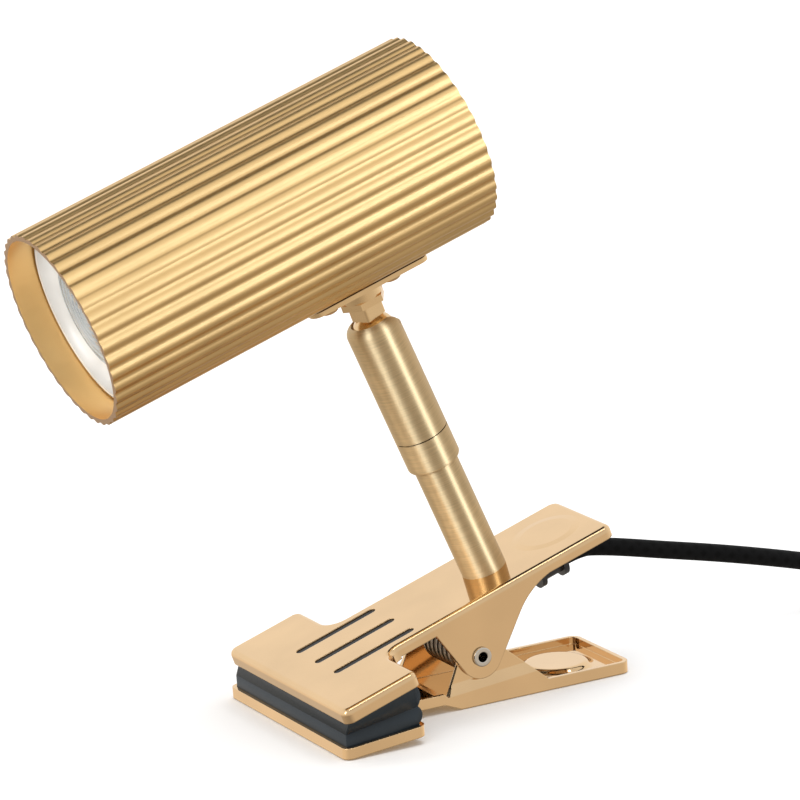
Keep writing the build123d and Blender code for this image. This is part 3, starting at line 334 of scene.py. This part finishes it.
def plain_finish(name, tone, gloss, cell, depth):
    """Moulded or rubber surface with fine grain."""
    material, tree, shader = new_finish(name)
    fine = grain(tree, even(cell), FINE_DETAIL)
    broad = grain(tree, even(PLAIN_PATCH), BROAD_DETAIL)
    surface = tint(tree, broad, scaled(tone, 0.9), scaled(tone, 1.1))
    tree.links.new(surface, shader.inputs["Base Color"])
    tree.links.new(spread(tree, fine, gloss * 0.85, gloss * 1.15), shader.inputs["Roughness"])
    add_bump(tree, shader, fine, GRAIN_STRENGTH, depth)
    return material


def paint_over(tree, shader, where, tone):
    """Lay another tone over a finish's colour where a 0 to 1 value is high."""
    under = shader.inputs["Base Color"].links[0].from_socket
    blend = add_node(tree, "ShaderNodeMixRGB", Color2=(*tone, 1))
    tree.links.new(where, blend.inputs["Fac"])
    tree.links.new(under, blend.inputs["Color1"])
    tree.links.new(blend.outputs["Color"], shader.inputs["Base Color"])


def dress(material, *nodes):
    """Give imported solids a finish."""
    for node in nodes:
        slots = frame["nodes"][node].data.materials
        slots.clear()
        slots.append(material)


def new_piece(name, shape, material):
    """Object from a finished bmesh."""
    mesh = bpy.data.meshes.new(name)
    shape.to_mesh(mesh)
    shape.free()
    mesh.materials.append(material)
    mesh.shade_smooth()
    piece = bpy.data.objects.new(name, mesh)
    bpy.context.scene.collection.objects.link(piece)
    return piece


def frames_along(points):
    """Direction and a steady side vector at each point of a line."""
    count = len(points)
    ways = []
    for index in range(count):
        before = points[max(index - 1, 0)]
        after = points[min(index + 1, count - 1)]
        ways.append((after - before).normalized())
    side = ways[0].orthogonal().normalized()
    sides = []
    for index in range(count):
        side = (side - ways[index] * side.dot(ways[index])).normalized()
        sides.append(side)
    return ways, sides


def tube(points, radius_at, around):
    """Closed tube along points, with UVs in metres along and turns around."""
    shape = bmesh.new()
    uv_layer = shape.loops.layers.uv.new("Around")
    ways, sides = frames_along(points)
    rings = []
    travel = [0.0]
    for here, there in zip(points, points[1:]):
        travel.append(travel[-1] + (there - here).length)
    for index, point in enumerate(points):
        cross = ways[index].cross(sides[index])
        radius = radius_at(travel[index])
        ring = []
        for step in range(around):
            angle = 2 * math.pi * step / around
            offset = sides[index] * math.cos(angle) + cross * math.sin(angle)
            ring.append(shape.verts.new(point + offset * radius))
        rings.append(ring)
    for index, (near, far) in enumerate(zip(rings, rings[1:])):
        for step in range(around):
            ahead = (step + 1) % around
            face = shape.faces.new((near[step], near[ahead], far[ahead], far[step]))
            turns = (step, step + 1, step + 1, step)
            places = (index, index, index + 1, index + 1)
            for loop, turn, place in zip(face.loops, turns, places):
                loop[uv_layer].uv = (turn / around, travel[place])
    shape.faces.new(list(reversed(rings[0])))
    shape.faces.new(rings[-1])
    bmesh.ops.recalc_face_normals(shape, faces=shape.faces)
    return shape


def smooth_line(name, route):
    """Points along the spline that a route of control points draws."""
    curve = bpy.data.curves.new(name, "CURVE")
    curve.dimensions = "3D"
    curve.resolution_u = 10
    spline = curve.splines.new("NURBS")
    spline.points.add(len(route) - 1)
    for point, place in zip(spline.points, route):
        point.co = (*place, 1.0)
    spline.order_u = 3
    spline.use_endpoint_u = True
    holder = bpy.data.objects.new(name, curve)
    mesh = bpy.data.meshes.new_from_object(holder)
    points = [vertex.co.copy() for vertex in mesh.vertices]
    bpy.data.objects.remove(holder)
    bpy.data.curves.remove(curve)
    bpy.data.meshes.remove(mesh)
    return points


CLIP_PIECES = ("top_plate", "lower_plate")
ARM_PIECES = ("arm_tube", "arm_collar", "swivel_sleeve")
SHADE_PIECES = ("shade_tube",)
MOUTH_PIECES = ("shade_tube", "bulb_body", "bulb_lens")


class LAMP_OT_clip(bpy.types.Operator):
    """Polish the clip plates and dress the rivet and fasteners"""

    bl_idname = "lamp.clip"
    bl_label = "Clip"

    def execute(self, context):
        metal = settings().lamp_metal
        gold = metal_finish(
            "polished_gold",
            metal.plate_gold,
            metal.plate_gloss,
            cell=(0.004, 0.0004, 0.0004),
            depth=0.000004,
            turn=HEAD_TURN,
            wave=0.00008,
        )
        soften(gold, radius=0.00035)
        dress(gold, *CLIP_PIECES)
        nickel = metal_finish(
            "bright_nickel", metal.nickel, gloss=0.18, cell=even(0.0006), depth=0.00001
        )
        dress(nickel, "pivot_rivet", "holder_screws", "bulb_pins", "plug_pins")
        zinc = metal_finish("zinc_plate", metal.zinc, gloss=0.35, cell=even(0.001), depth=0.00002)
        dress(
            zinc,
            "arm_foot_ring",
            "base_nipple",
            "base_washer",
            "base_nut",
            "swivel_spigot",
            "stub_washer",
            "stub_nut",
            "holder_strip",
            "switch_nut",
        )
        return {"FINISHED"}


PAD_MEETING_GAP = 0.3 * MM
PAD_CLOSING_SHARE = 0.45
FLAT_ANGLE = math.radians(1)
ROUNDED_ANGLE = math.radians(30)
SHARP_ANGLE = math.radians(35)


class LAMP_OT_pads(bpy.types.Operator):
    """Moulded rubber pads with rounded edges"""

    bl_idname = "lamp.pads"
    bl_label = "Jaw pads"

    def execute(self, context):
        trim = settings().lamp_trim
        rubber = plain_finish("jaw_rubber", trim.rubber, gloss=0.48, cell=0.0005, depth=0.00003)
        surfaces = {node: self.surface(node) for node in ("upper_pad", "lower_pad")}
        pairs = (("upper_pad", "lower_pad", "upper_jaw"), ("lower_pad", "upper_pad", "lower_jaw"))
        for node, other, body in pairs:
            shape = bmesh.new()
            shape.from_mesh(frame["nodes"][node].data)
            bmesh.ops.remove_doubles(shape, verts=shape.verts, dist=0.00001)
            bmesh.ops.dissolve_limit(
                shape, angle_limit=FLAT_ANGLE, verts=shape.verts, edges=shape.edges
            )
            met = self.close(shape, surfaces[other])
            sharp = [
                edge
                for edge in shape.edges
                if edge.calc_face_angle(0.0) > ROUNDED_ANGLE and not met.issuperset(edge.verts)
            ]
            bmesh.ops.bevel(
                shape, geom=sharp, offset=trim.pad_round, segments=3, profile=0.5, affect="EDGES"
            )
            bmesh.ops.triangulate(shape, faces=shape.faces)
            piece = new_piece(f"{node}_rubber", shape, rubber)
            piece.data.set_sharp_from_angle(angle=SHARP_ANGLE)
            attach(piece, body)
            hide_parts(node)
        return {"FINISHED"}

    @staticmethod
    def surface(node):
        """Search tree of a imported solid's faces."""
        shape = bmesh.new()
        shape.from_mesh(frame["nodes"][node].data)
        found = BVHTree.FromBMesh(shape)
        shape.free()
        return found

    @staticmethod
    def close(shape, other):
        """Bring the face that meets the other pad almost up to it."""
        met = set()
        for vertex in shape.verts:
            nearest, _, _, gap = other.find_nearest(vertex.co)
            if gap < PAD_MEETING_GAP:
                vertex.co = vertex.co.lerp(nearest, PAD_CLOSING_SHARE)
                met.add(vertex)
        return met


SPRING_RADIUS = 5.0 * MM
SPRING_PITCH = 2.6 * MM
SPRING_LOOPS = 5
POINTS_PER_LOOP = 40
TINY_TURN = 1e-4
# Ends of the legs, in millimetres on the upper plate and from the jaw's front edge
UPPER_LEG_END = (76.0, 0, -2.3)
LOWER_LEG_END = (67.0, 0, 2.3)


class LAMP_OT_spring(bpy.types.Operator):
    """Torsion spring round the rivet, with a leg on each handle"""

    bl_idname = "lamp.spring"
    bl_label = "Spring"

    def execute(self, context):
        sizes = settings().lamp_cord
        # The wire's warm tone stands in partly for a painted reflection of the gold plates
        steel = metal_finish(
            "spring_wire", settings().lamp_metal.steel, gloss=0.4, cell=even(0.0008), depth=0.00001
        )
        dress(steel, "disc_springs", "spigot_circlip")
        upper_tip = on_plate(*UPPER_LEG_END) - PIVOT
        lower_tip = from_jaw(*LOWER_LEG_END) - PIVOT
        start = self.leave(lower_tip, -1)
        finish = self.leave(upper_tip, 1)
        turns = SPRING_LOOPS + ((start - finish) % (2 * math.pi)) / (2 * math.pi)
        half = SPRING_PITCH * turns / 2

        def place(turn):
            angle = start - 2 * math.pi * turn
            along = SPRING_RADIUS * math.cos(angle)
            up = SPRING_RADIUS * math.sin(angle)
            return PIVOT + Vector((along, SPRING_PITCH * turn - half, up))

        count = round(turns * POINTS_PER_LOOP)
        points = [place(turns * index / count) for index in range(count + 1)]
        first_way = (place(TINY_TURN) - place(0)).normalized()
        last_way = (place(turns) - place(turns - TINY_TURN)).normalized()
        lower_leg = math.sqrt(lower_tip.length**2 - SPRING_RADIUS**2)
        upper_leg = math.sqrt(upper_tip.length**2 - SPRING_RADIUS**2)
        points.insert(0, points[0] - first_way * lower_leg)
        points.append(points[-1] + last_way * upper_leg)
        shape = tube(points, lambda travel: sizes.wire_radius, around=16)
        piece = new_piece("clip_spring", shape, steel)
        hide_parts("torsion_spring")
        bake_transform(piece)
        return {"FINISHED"}

    @staticmethod
    def leave(tip, side):
        """Angle round the loops where a leg to a tip leaves them."""
        return math.atan2(tip.z, tip.x) + side * math.acos(SPRING_RADIUS / tip.length)


class LAMP_OT_arm(bpy.types.Operator):
    """Brushed arm and sleeve, bright neck and bracket"""

    bl_idname = "lamp.arm"
    bl_label = "Arm and joint"

    def execute(self, context):
        metal = settings().lamp_metal
        brass = metal_finish(
            "brushed_brass",
            metal.arm_brass,
            metal.arm_gloss,
            cell=(0.006, 0.006, 0.0003),
            depth=0.000008,
            turn=ARM_TURN,
            streak=0.3,
        )
        brush(brass, ARM_UP, share_along=0.9)
        dress(brass, *ARM_PIECES)
        plain = metal_finish(
            "plain_brass",
            metal.neck_brass,
            gloss=0.2,
            cell=even(0.0005),
            depth=0.00002,
            turn=HEAD_TURN,
        )
        dress(plain, "swivel_stub", "boss_washer", "bracket_plate", "bracket_screws")
        bearing = plain_finish(
            "bearing_plastic", (0.6, 0.6, 0.56), gloss=0.4, cell=0.001, depth=0.00002
        )
        dress(bearing, "sleeve_bush", "ball_seat")
        return {"FINISHED"}


class LAMP_OT_shade(bpy.types.Operator):
    """Satin fluted shade and its rear cap"""

    bl_idname = "lamp.shade"
    bl_label = "Shade"

    def execute(self, context):
        metal = settings().lamp_metal
        for name, node in (("satin_gold", "rear_cap"), ("lined_gold", "shade_tube")):
            satin = metal_finish(
                name,
                metal.shade_gold,
                metal.shade_gloss,
                cell=(0.002, 0.0003, 0.0003),
                depth=0.000004,
                turn=HEAD_TURN,
            )
            dress(satin, node)
        # Paint lighter gold inside the shade, partly as painted light in the dim inside
        self.paint_light_inside(satin, metal.inside_gold_with_painted_light)
        self.cut_rim(satin, metal.rim_gold)
        return {"FINISHED"}

    @staticmethod
    def paint_light_inside(material, tone):
        """Lighter gold on the shade's inside, nearer the head's axis than its wall: partly a
        lacquered lining, partly painted light where little light reaches in.
        """
        tree, shader = opened(material)
        edges = (SHADE_BORE + 0.1 * MM, SHADE_BORE + 0.3 * MM)
        inside = spread(tree, from_axis(tree), 1.0, 0.0, *edges)
        paint_over(tree, shader, inside, tone)

    @staticmethod
    def cut_rim(material, tone):
        """Duller gold on the mouth's cut end, which faces along the head's axis."""
        tree, shader = opened(material)
        place = add_node(tree, "ShaderNodeTexCoord")
        facing = add_node(tree, "ShaderNodeVectorMath", operation="DOT_PRODUCT")
        facing.inputs[1].default_value = -PLATE_ALONG
        tree.links.new(place.outputs["Normal"], facing.inputs[0])
        rim = spread(tree, facing.outputs["Value"], 0.0, 1.0, start=0.8, end=0.9)
        paint_over(tree, shader, rim, tone)


LENS_RING = 0.0011


class LAMP_OT_bulb(bpy.types.Operator):
    """Bulb, lens, holder, contacts and wires"""

    bl_idname = "lamp.bulb"
    bl_label = "Bulb"

    def execute(self, context):
        trim = settings().lamp_trim
        housing = plain_finish(
            "bulb_housing", trim.bulb_white, gloss=0.38, cell=0.0012, depth=0.00001
        )
        dress(housing, "bulb_body")
        dress(self.glass(trim.lens_grey), "bulb_lens")
        ceramic = plain_finish(
            "holder_ceramic", (0.7, 0.69, 0.65), gloss=0.4, cell=0.001, depth=0.00002
        )
        dress(ceramic, "lamp_holder")
        brass = metal_finish(
            "contact_brass", (0.6, 0.45, 0.2), gloss=0.3, cell=even(0.001), depth=0.00001
        )
        dress(brass, "holder_contacts")
        wire = plain_finish(
            "wire_insulation", (0.3, 0.32, 0.34), gloss=0.45, cell=0.0006, depth=0.00001
        )
        dress(wire, "arm_wires", "head_wires")
        return {"FINISHED"}

    @staticmethod
    def glass(tone):
        """Clear lens with fine rings round the head's axis."""
        material, tree, shader = new_finish("lens_glass")
        rings = add_node(tree, "ShaderNodeMath", operation="PINGPONG")
        rings.inputs[1].default_value = LENS_RING
        tree.links.new(from_axis(tree), rings.inputs[0])
        height = spread(tree, rings.outputs["Value"], 0.0, 1.0, end=LENS_RING)
        add_bump(tree, shader, height, strength=0.5, depth=0.0004)
        cloud = grain(tree, even(0.006), detail=3.0)
        tree.links.new(tint(tree, cloud, scaled(tone, 0.85), tone), shader.inputs["Base Color"])
        shader.inputs["Roughness"].default_value = 0.06
        shader.inputs["IOR"].default_value = 1.49
        shader.inputs["Transmission Weight"].default_value = 0.75
        return material


class LAMP_OT_switch(bpy.types.Operator):
    """Push switch in the rear cap, cord grip and plug"""

    bl_idname = "lamp.switch"
    bl_label = "Switch, grip and plug"

    def execute(self, context):
        trim = settings().lamp_trim
        plastic = plain_finish(
            "black_plastic", trim.plastic, gloss=0.42, cell=0.0004, depth=0.00002
        )
        dress(plastic, "switch_body", "switch_button", "cord_grip", "plug_body")
        return {"FINISHED"}


# Places of the cord, in millimetres from the jaw's front edge, across and above the table
RUN_PLACES = (
    (98.8, 0, 32.1),
    (106.5, 0, 30.4),
    (118.0, 0, 27.5),
    (135.0, 0, 23.4),
    (154.0, 0.5, 18.2),
    (172.0, 4.0, 12.3),
    (188.0, 11.5, 7.6),
    (204.0, 22.3, 4.7),
)
TAIL_PLACES = ((273.0, 28.0, 8.0), (285.0, 20.3, 7.1), (295.0, 15.0, 6.85), (307.0, 15.0, 6.85))
# Start of the cord, in millimetres below and along the upper plate
GRIP_DROP = 8.8
GRIP_START = 78.5
GRIP_OVERLAP = 0.2
RUN_STARTS = (87.7, 93.9)
# Coil of the cord, in millimetres and turns
COIL_ENTRY = 243.0
COIL_FAR_SIDE = 33.5
COIL_OUTER = 38.0
COIL_HEIGHT = 3.4
COIL_LAYER = 5.5
COIL_PITCH = 5.5
COIL_TURNS = 8.0
CLIMB_TURNS = 0.5
REVERSE_EASE = 0.004
POINTS_PER_TURN = 16
COIL_LEAD_IN = 20.0
COIL_LEAD_OUT = 17.0
LEAD_OFFSET = 0.3
CORD_SIDES = 20
BRAID_LAY = 420.0
BRAID_SCALE = 0.32
SLEEVE_BACK = 298.5
SLEEVE_WALL = 2.6 * MM
SLEEVE_TAPER = 1.9 * MM
SLEEVE_RIB = 0.35 * MM
SLEEVE_RIB_PITCH = 2.4 * MM
SLEEVE_STEPS = 4
STRAP_THICK = 0.7 * MM
STRAP_CORNER = 1.6 * MM
STRAP_CORNER_STEPS = 6
STRAP_COLUMNS = 7


def coil_place(turn):
    """Control point of the coiled cord after a number of turns."""
    inside = math.sqrt((turn - COIL_TURNS / 2) ** 2 + REVERSE_EASE)
    radius = COIL_OUTER - COIL_PITCH * (COIL_TURNS / 2 - inside)
    radius /= math.cos(math.pi / POINTS_PER_TURN)
    climb = min(max((turn - (COIL_TURNS - CLIMB_TURNS) / 2) / CLIMB_TURNS, 0), 1)
    angle = math.pi / 2 - 2 * math.pi * turn
    return from_jaw(
        COIL_ENTRY + radius * math.cos(angle),
        COIL_FAR_SIDE - COIL_OUTER + radius * math.sin(angle),
        COIL_HEIGHT + COIL_LAYER * (1 - math.cos(math.pi * climb)) / 2,
    )


class LAMP_OT_cord(bpy.types.Operator):
    """Braided cord from the grip to the plug, with its coil, tie and plug sleeve"""

    bl_idname = "lamp.cord"
    bl_label = "Cord"

    def execute(self, context):
        sizes = settings().lamp_cord
        braid = self.braid(sizes)
        route = [on_plate(along, 0, -GRIP_DROP) for along in RUN_STARTS]
        route += [from_jaw(*place) for place in RUN_PLACES]
        route.append(
            from_jaw(COIL_ENTRY - COIL_LEAD_IN, COIL_FAR_SIDE - LEAD_OFFSET, COIL_HEIGHT)
        )
        steps = round(COIL_TURNS * POINTS_PER_TURN)
        route += [coil_place((index + 0.5) / POINTS_PER_TURN) for index in range(steps)]
        route.append(
            from_jaw(
                COIL_ENTRY + COIL_LEAD_OUT, COIL_FAR_SIDE + LEAD_OFFSET, COIL_HEIGHT + COIL_LAYER
            )
        )
        route += [from_jaw(*place) for place in TAIL_PLACES]
        line = smooth_line("cord_line", route)
        shape = tube(line, lambda travel: sizes.cord_radius, CORD_SIDES)
        cord = new_piece("cord", shape, braid)
        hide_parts("cord_run", "cord_coil", "cord_tail")
        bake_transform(cord)
        lead_ends = (GRIP_START, (GRIP_START + RUN_STARTS[0]) / 2, RUN_STARTS[0] + GRIP_OVERLAP)
        lead = [on_plate(along, 0, -GRIP_DROP) for along in lead_ends]
        shape = tube(lead, lambda travel: sizes.cord_radius, CORD_SIDES)
        lead_piece = new_piece("cord_in_grip", shape, braid)
        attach(lead_piece, "upper_jaw")
        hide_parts("cord_lead")
        tie = self.tie()
        sleeve = self.plug_sleeve(line, sizes)
        return {"FINISHED"}

    @staticmethod
    def braid(sizes):
        """Black braid whose strands cross round the cord."""
        material, tree, shader = new_finish("cord_braid")
        uv = add_node(tree, "ShaderNodeUVMap", uv_map="Around")
        waves = []
        for way in (1, -1):
            mapping = add_node(tree, "ShaderNodeMapping")
            mapping.inputs["Scale"].default_value = (sizes.braid_count / 2, way * BRAID_LAY, 1)
            tree.links.new(uv.outputs["UV"], mapping.inputs["Vector"])
            wave = add_node(
                tree, "ShaderNodeTexWave", wave_type="BANDS", bands_direction="DIAGONAL"
            )
            wave.inputs["Scale"].default_value = BRAID_SCALE
            wave.inputs["Distortion"].default_value = 0.0
            tree.links.new(mapping.outputs["Vector"], wave.inputs["Vector"])
            waves.append(wave)
        top = add_node(tree, "ShaderNodeMath", operation="MAXIMUM")
        for index, wave in enumerate(waves):
            tree.links.new(wave.outputs["Fac"], top.inputs[index])
        tone = settings().lamp_trim.cord_black
        strands = tint(tree, top.outputs["Value"], scaled(tone, 0.6), scaled(tone, 2.2))
        tree.links.new(strands, shader.inputs["Base Color"])
        shader.inputs["Roughness"].default_value = 0.7
        shader.inputs["Specular IOR Level"].default_value = 0.12
        shader.inputs["Sheen Weight"].default_value = 0.015
        add_bump(tree, shader, top.outputs["Value"], strength=0.5, depth=0.00012)
        return material

    @staticmethod
    def plug_sleeve(line, sizes):
        """Ribbed sleeve that tapers along the cord behind the plug."""
        rubber = plain_finish(
            "sleeve_rubber", settings().lamp_trim.plastic, gloss=0.5, cell=0.0004, depth=0.00002
        )
        back = from_jaw(SLEEVE_BACK, 0, 0).x
        points = []
        travel = 0.0
        for here in reversed(line[:-1]):
            if here.x > back:
                continue
            points.append(here)
            if len(points) > 1:
                travel += (points[-1] - points[-2]).length
            if travel > sizes.sleeve_length:
                break
        fine = [
            start.lerp(end, step / SLEEVE_STEPS)
            for start, end in zip(points, points[1:])
            for step in range(SLEEVE_STEPS)
        ]

        def radius(along):
            part = min(along / travel, 1.0)
            rib = SLEEVE_RIB * math.cos(2 * math.pi * along / SLEEVE_RIB_PITCH)
            wall = SLEEVE_WALL - SLEEVE_TAPER * part
            return sizes.cord_radius + wall + rib * (1 - part / 2)

        piece = new_piece("plug_sleeve", tube(fine, radius, around=24), rubber)
        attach(piece, "lower_jaw")
        return piece

    @staticmethod
    def tie():
        """Woven strap round the coil."""
        low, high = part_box("coil_tie")
        woven = plain_finish(
            "woven_strap", (0.012, 0.012, 0.013), gloss=0.7, cell=0.0007, depth=0.00008
        )
        shape = bmesh.new()
        outline = []
        corners = (
            (high.y - STRAP_CORNER, high.z - STRAP_CORNER, 0),
            (low.y + STRAP_CORNER, high.z - STRAP_CORNER, 90),
            (low.y + STRAP_CORNER, low.z + STRAP_CORNER, 180),
            (high.y - STRAP_CORNER, low.z + STRAP_CORNER, 270),
        )
        for middle_y, middle_z, turn in corners:
            for step in range(STRAP_CORNER_STEPS + 1):
                angle = math.radians(turn + 90 * step / STRAP_CORNER_STEPS)
                outline.append((middle_y, middle_z, math.cos(angle), math.sin(angle)))
        rings = []
        for column in range(STRAP_COLUMNS):
            along = low.x + (high.x - low.x) * column / (STRAP_COLUMNS - 1)
            for radius in (STRAP_CORNER, STRAP_CORNER - STRAP_THICK):
                rings.append(
                    [
                        shape.verts.new((along, y + across * radius, z + up * radius))
                        for y, z, across, up in outline
                    ]
                )
        count = len(outline)
        for step in range(count):
            ahead = (step + 1) % count
            for column in range(STRAP_COLUMNS - 1):
                outer, inner = rings[2 * column], rings[2 * column + 1]
                next_outer, next_inner = rings[2 * column + 2], rings[2 * column + 3]
                shape.faces.new((outer[step], outer[ahead], next_outer[ahead], next_outer[step]))
                shape.faces.new((inner[step], next_inner[step], next_inner[ahead], inner[ahead]))
            for pair, flip in ((0, False), (STRAP_COLUMNS - 1, True)):
                outer, inner = rings[2 * pair], rings[2 * pair + 1]
                loop = (outer[step], inner[step], inner[ahead], outer[ahead])
                shape.faces.new(loop if not flip else tuple(reversed(loop)))
        bmesh.ops.recalc_face_normals(shape, faces=shape.faces)
        piece = new_piece("coil_strap", shape, woven)
        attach(piece, "lower_jaw")
        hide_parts("coil_tie")
        return piece


COOL = (0.66, 0.8, 1.0)
PLAIN = (1.0, 1.0, 1.0)
STRIPS = (
    ("arm_right", "arm_power", (0.57, -1.3, 0.37), (0.3, 0.95), COOL, ARM_PIECES),
    ("arm_left", "arm_power", (-1.18, -0.72, 0.37), (0.42, 0.95), COOL, ARM_PIECES),
    ("arm_side", "side_power", (-1.375, 0.12, 0.37), (1.1, 0.95), PLAIN, ARM_PIECES),
    ("clip_edge", "edge_power", (0.08, -0.33, 1.3), (1.2, 0.15), PLAIN, CLIP_PIECES),
    ("clip_corner", "corner_power", (-1.2, -0.32, 0.45), (0.3, 0.9), PLAIN, CLIP_PIECES),
    ("shade_front", "shade_power", (0.5, -1.3, 0.62), (0.3, 1.3), COOL, SHADE_PIECES),
    ("shade_low", "low_power", (0.15, -0.26, 0.03), (0.34, 0.05), COOL, SHADE_PIECES),
    ("shade_fill", "fill_power", (0.15, -0.6, 1.2), (0.9, 0.9), PLAIN, SHADE_PIECES),
    ("mouth", "mouth_power", (-1.1, -0.4, 0.3), (0.5, 0.5), PLAIN, MOUTH_PIECES),
)
ROOM_HEIGHTS = (
    (-0.9, (0.4, 0.365, 0.32)),
    (-0.55, (0.54, 0.495, 0.44)),
    (-0.3, (0.95, 0.87, 0.77)),
    (0.1, (1.0, 1.0, 1.0)),
    (0.55, (1.0, 1.0, 1.0)),
    (0.7, (0.9, 0.9, 0.9)),
    (0.9, (0.82, 0.82, 0.82)),
)
ROOM_FRONT_LEVEL = 0.76
ROOM_FRONT_EDGES = (-0.7, 0.2)
ROOM_DARK_LEVEL = 0.04
ROOM_DARK_WAY = (0.06, 0.42, 0.905)
ROOM_DARK_EDGES = (0.925, 0.945)
FLOOR_HALF = 3.0
FLOOR_DROP = -0.0002
TOP_PLACE = (0.0, 0.2, 1.9)
TOP_SIZE = (2.2, 2.2)
LAMP_MIDDLE = Vector((0.0, 0.0, 0.09))
CAMERA_PLACE = (-548.97, -1205.36, 422.42)
CAMERA_RIGHT = (0.88857, -0.45367, -0.06796)
CAMERA_UP = (0.17015, 0.18836, 0.96725)
CAMERA_BACK = (-0.42601, -0.87104, 0.24456)


class LAMP_OT_stage(bpy.types.Operator):
    """White floor, studio light and camera"""

    bl_idname = "lamp.stage"
    bl_label = "Studio"

    def execute(self, context):
        studio = settings().lamp_studio
        scene = bpy.context.scene
        scene.view_settings.view_transform = "Standard"
        self.floor()
        self.room(studio)
        for name, setting, place, size, tone, pieces in STRIPS:
            strip = self.light(name, place, size, getattr(studio, setting))
            strip.data.color = tone
            lit = bpy.data.collections.new(f"{name}_lit")
            for piece in pieces:
                lit.objects.link(frame["nodes"][piece])
            strip.light_linking.receiver_collection = lit
        top = self.light("top", TOP_PLACE, TOP_SIZE, studio.top_power)
        top.visible_glossy = False
        camera = bpy.data.cameras.new("camera")
        camera.lens = studio.lens
        camera.sensor_width = 36.0
        camera.clip_end = 20.0
        holder = bpy.data.objects.new("camera", camera)
        turn = Matrix((CAMERA_RIGHT, CAMERA_UP, CAMERA_BACK)).transposed().to_4x4()
        holder.matrix_world = Matrix.Translation(from_jaw(*CAMERA_PLACE)) @ turn
        scene.collection.objects.link(holder)
        scene.camera = holder
        return {"FINISHED"}

    @staticmethod
    def floor():
        """Pale floor under the lamp."""
        shape = bmesh.new()
        bmesh.ops.create_grid(shape, x_segments=8, y_segments=8, size=FLOOR_HALF)
        mesh = bpy.data.meshes.new("floor")
        shape.to_mesh(mesh)
        shape.free()
        material, _, shader = new_finish("white_floor")
        shader.inputs["Base Color"].default_value = (0.95, 0.95, 0.95, 1)
        shader.inputs["Roughness"].default_value = 0.9
        mesh.materials.append(material)
        piece = bpy.data.objects.new("floor", mesh)
        piece.location.z = FLOOR_DROP
        piece.visible_glossy = False
        bpy.context.scene.collection.objects.link(piece)

    @staticmethod
    def room(studio):
        """White room, dimmer overhead, below and in front, with a dark patch high behind."""
        world = bpy.data.worlds.new("white_room")
        world.use_nodes = True
        bpy.context.scene.world = world
        tree = world.node_tree
        background = tree.nodes["Background"]
        place = add_node(tree, "ShaderNodeTexCoord")
        split = add_node(tree, "ShaderNodeSeparateXYZ")
        height = add_node(tree, "ShaderNodeValToRGB")
        while len(height.color_ramp.elements) < len(ROOM_HEIGHTS):
            height.color_ramp.elements.new(1.0)
        for stop, (position, level) in zip(height.color_ramp.elements, ROOM_HEIGHTS):
            stop.position = (position + 1) / 2
            stop.color = (*level, 1)
        toward = add_node(tree, "ShaderNodeVectorMath", operation="DOT_PRODUCT")
        toward.inputs[1].default_value = ROOM_DARK_WAY
        rise = spread(tree, split.outputs["Z"], 0.0, 1.0, start=-1.0)
        front = spread(tree, split.outputs["Y"], ROOM_FRONT_LEVEL, 1.0, *ROOM_FRONT_EDGES)
        patch = spread(tree, toward.outputs["Value"], 1.0, ROOM_DARK_LEVEL, *ROOM_DARK_EDGES)
        dim = add_node(tree, "ShaderNodeMath", operation="MULTIPLY")
        level = add_node(tree, "ShaderNodeVectorMath", operation="SCALE")
        tree.links.new(place.outputs["Generated"], split.inputs["Vector"])
        tree.links.new(place.outputs["Generated"], toward.inputs[0])
        tree.links.new(rise, height.inputs["Fac"])
        tree.links.new(front, dim.inputs[0])
        tree.links.new(patch, dim.inputs[1])
        tree.links.new(height.outputs["Color"], level.inputs["Vector"])
        tree.links.new(dim.outputs["Value"], level.inputs["Scale"])
        tree.links.new(level.outputs["Vector"], background.inputs["Color"])
        background.inputs["Strength"].default_value = studio.room

    @staticmethod
    def light(name, place, size, watts):
        """Soft rectangular light that faces the lamp."""
        lamp = bpy.data.lights.new(name, "AREA")
        lamp.shape = "RECTANGLE"
        lamp.size, lamp.size_y = size
        lamp.energy = watts
        holder = bpy.data.objects.new(name, lamp)
        holder.location = place
        way = LAMP_MIDDLE - Vector(place)
        holder.rotation_euler = way.to_track_quat("-Z", "Y").to_euler()
        holder.visible_camera = False
        bpy.context.scene.collection.objects.link(holder)
        return holder


PIECES = (
    LAMP_OT_clip,
    LAMP_OT_pads,
    LAMP_OT_spring,
    LAMP_OT_arm,
    LAMP_OT_shade,
    LAMP_OT_bulb,
    LAMP_OT_switch,
    LAMP_OT_cord,
    LAMP_OT_stage,
)


class LAMP_PT_panel(bpy.types.Panel):
    """Lists the lamp's pieces and settings"""

    bl_label = "Clip-on reading lamp"
    bl_idname = "LAMP_PT_panel"
    bl_space_type = "VIEW_3D"
    bl_region_type = "UI"
    bl_category = "Lamp"

    def draw(self, context):
        for name, group in GROUPS:
            for setting in group.__annotations__:
                self.layout.prop(getattr(context.scene, name), setting)
        for piece in PIECES:
            self.layout.operator(piece.bl_idname)


GROUPS = (
    ("lamp_metal", LampMetal),
    ("lamp_trim", LampTrim),
    ("lamp_cord", LampCord),
    ("lamp_studio", LampStudio),
)
CLASSES = tuple(group for _, group in GROUPS) + PIECES + (LAMP_PT_panel,)


def register():
    """Add the lamp's classes and settings."""
    for entry in CLASSES:
        bpy.utils.register_class(entry)
    for name, group in GROUPS:
        setattr(bpy.types.Scene, name, PointerProperty(type=group))


def unregister():
    """Remove the lamp's settings and classes."""
    for name, _ in GROUPS:
        delattr(bpy.types.Scene, name)
    for entry in reversed(CLASSES):
        bpy.utils.unregister_class(entry)


def main():
    """Dress the lamp and set up its studio."""
    register()
    bpy.ops.lamp.clip()
    bpy.ops.lamp.pads()
    bpy.ops.lamp.spring()
    bpy.ops.lamp.arm()
    bpy.ops.lamp.shade()
    bpy.ops.lamp.bulb()
    bpy.ops.lamp.switch()
    bpy.ops.lamp.cord()
    bpy.ops.lamp.stage()


if __name__ == "__main__":
    main()
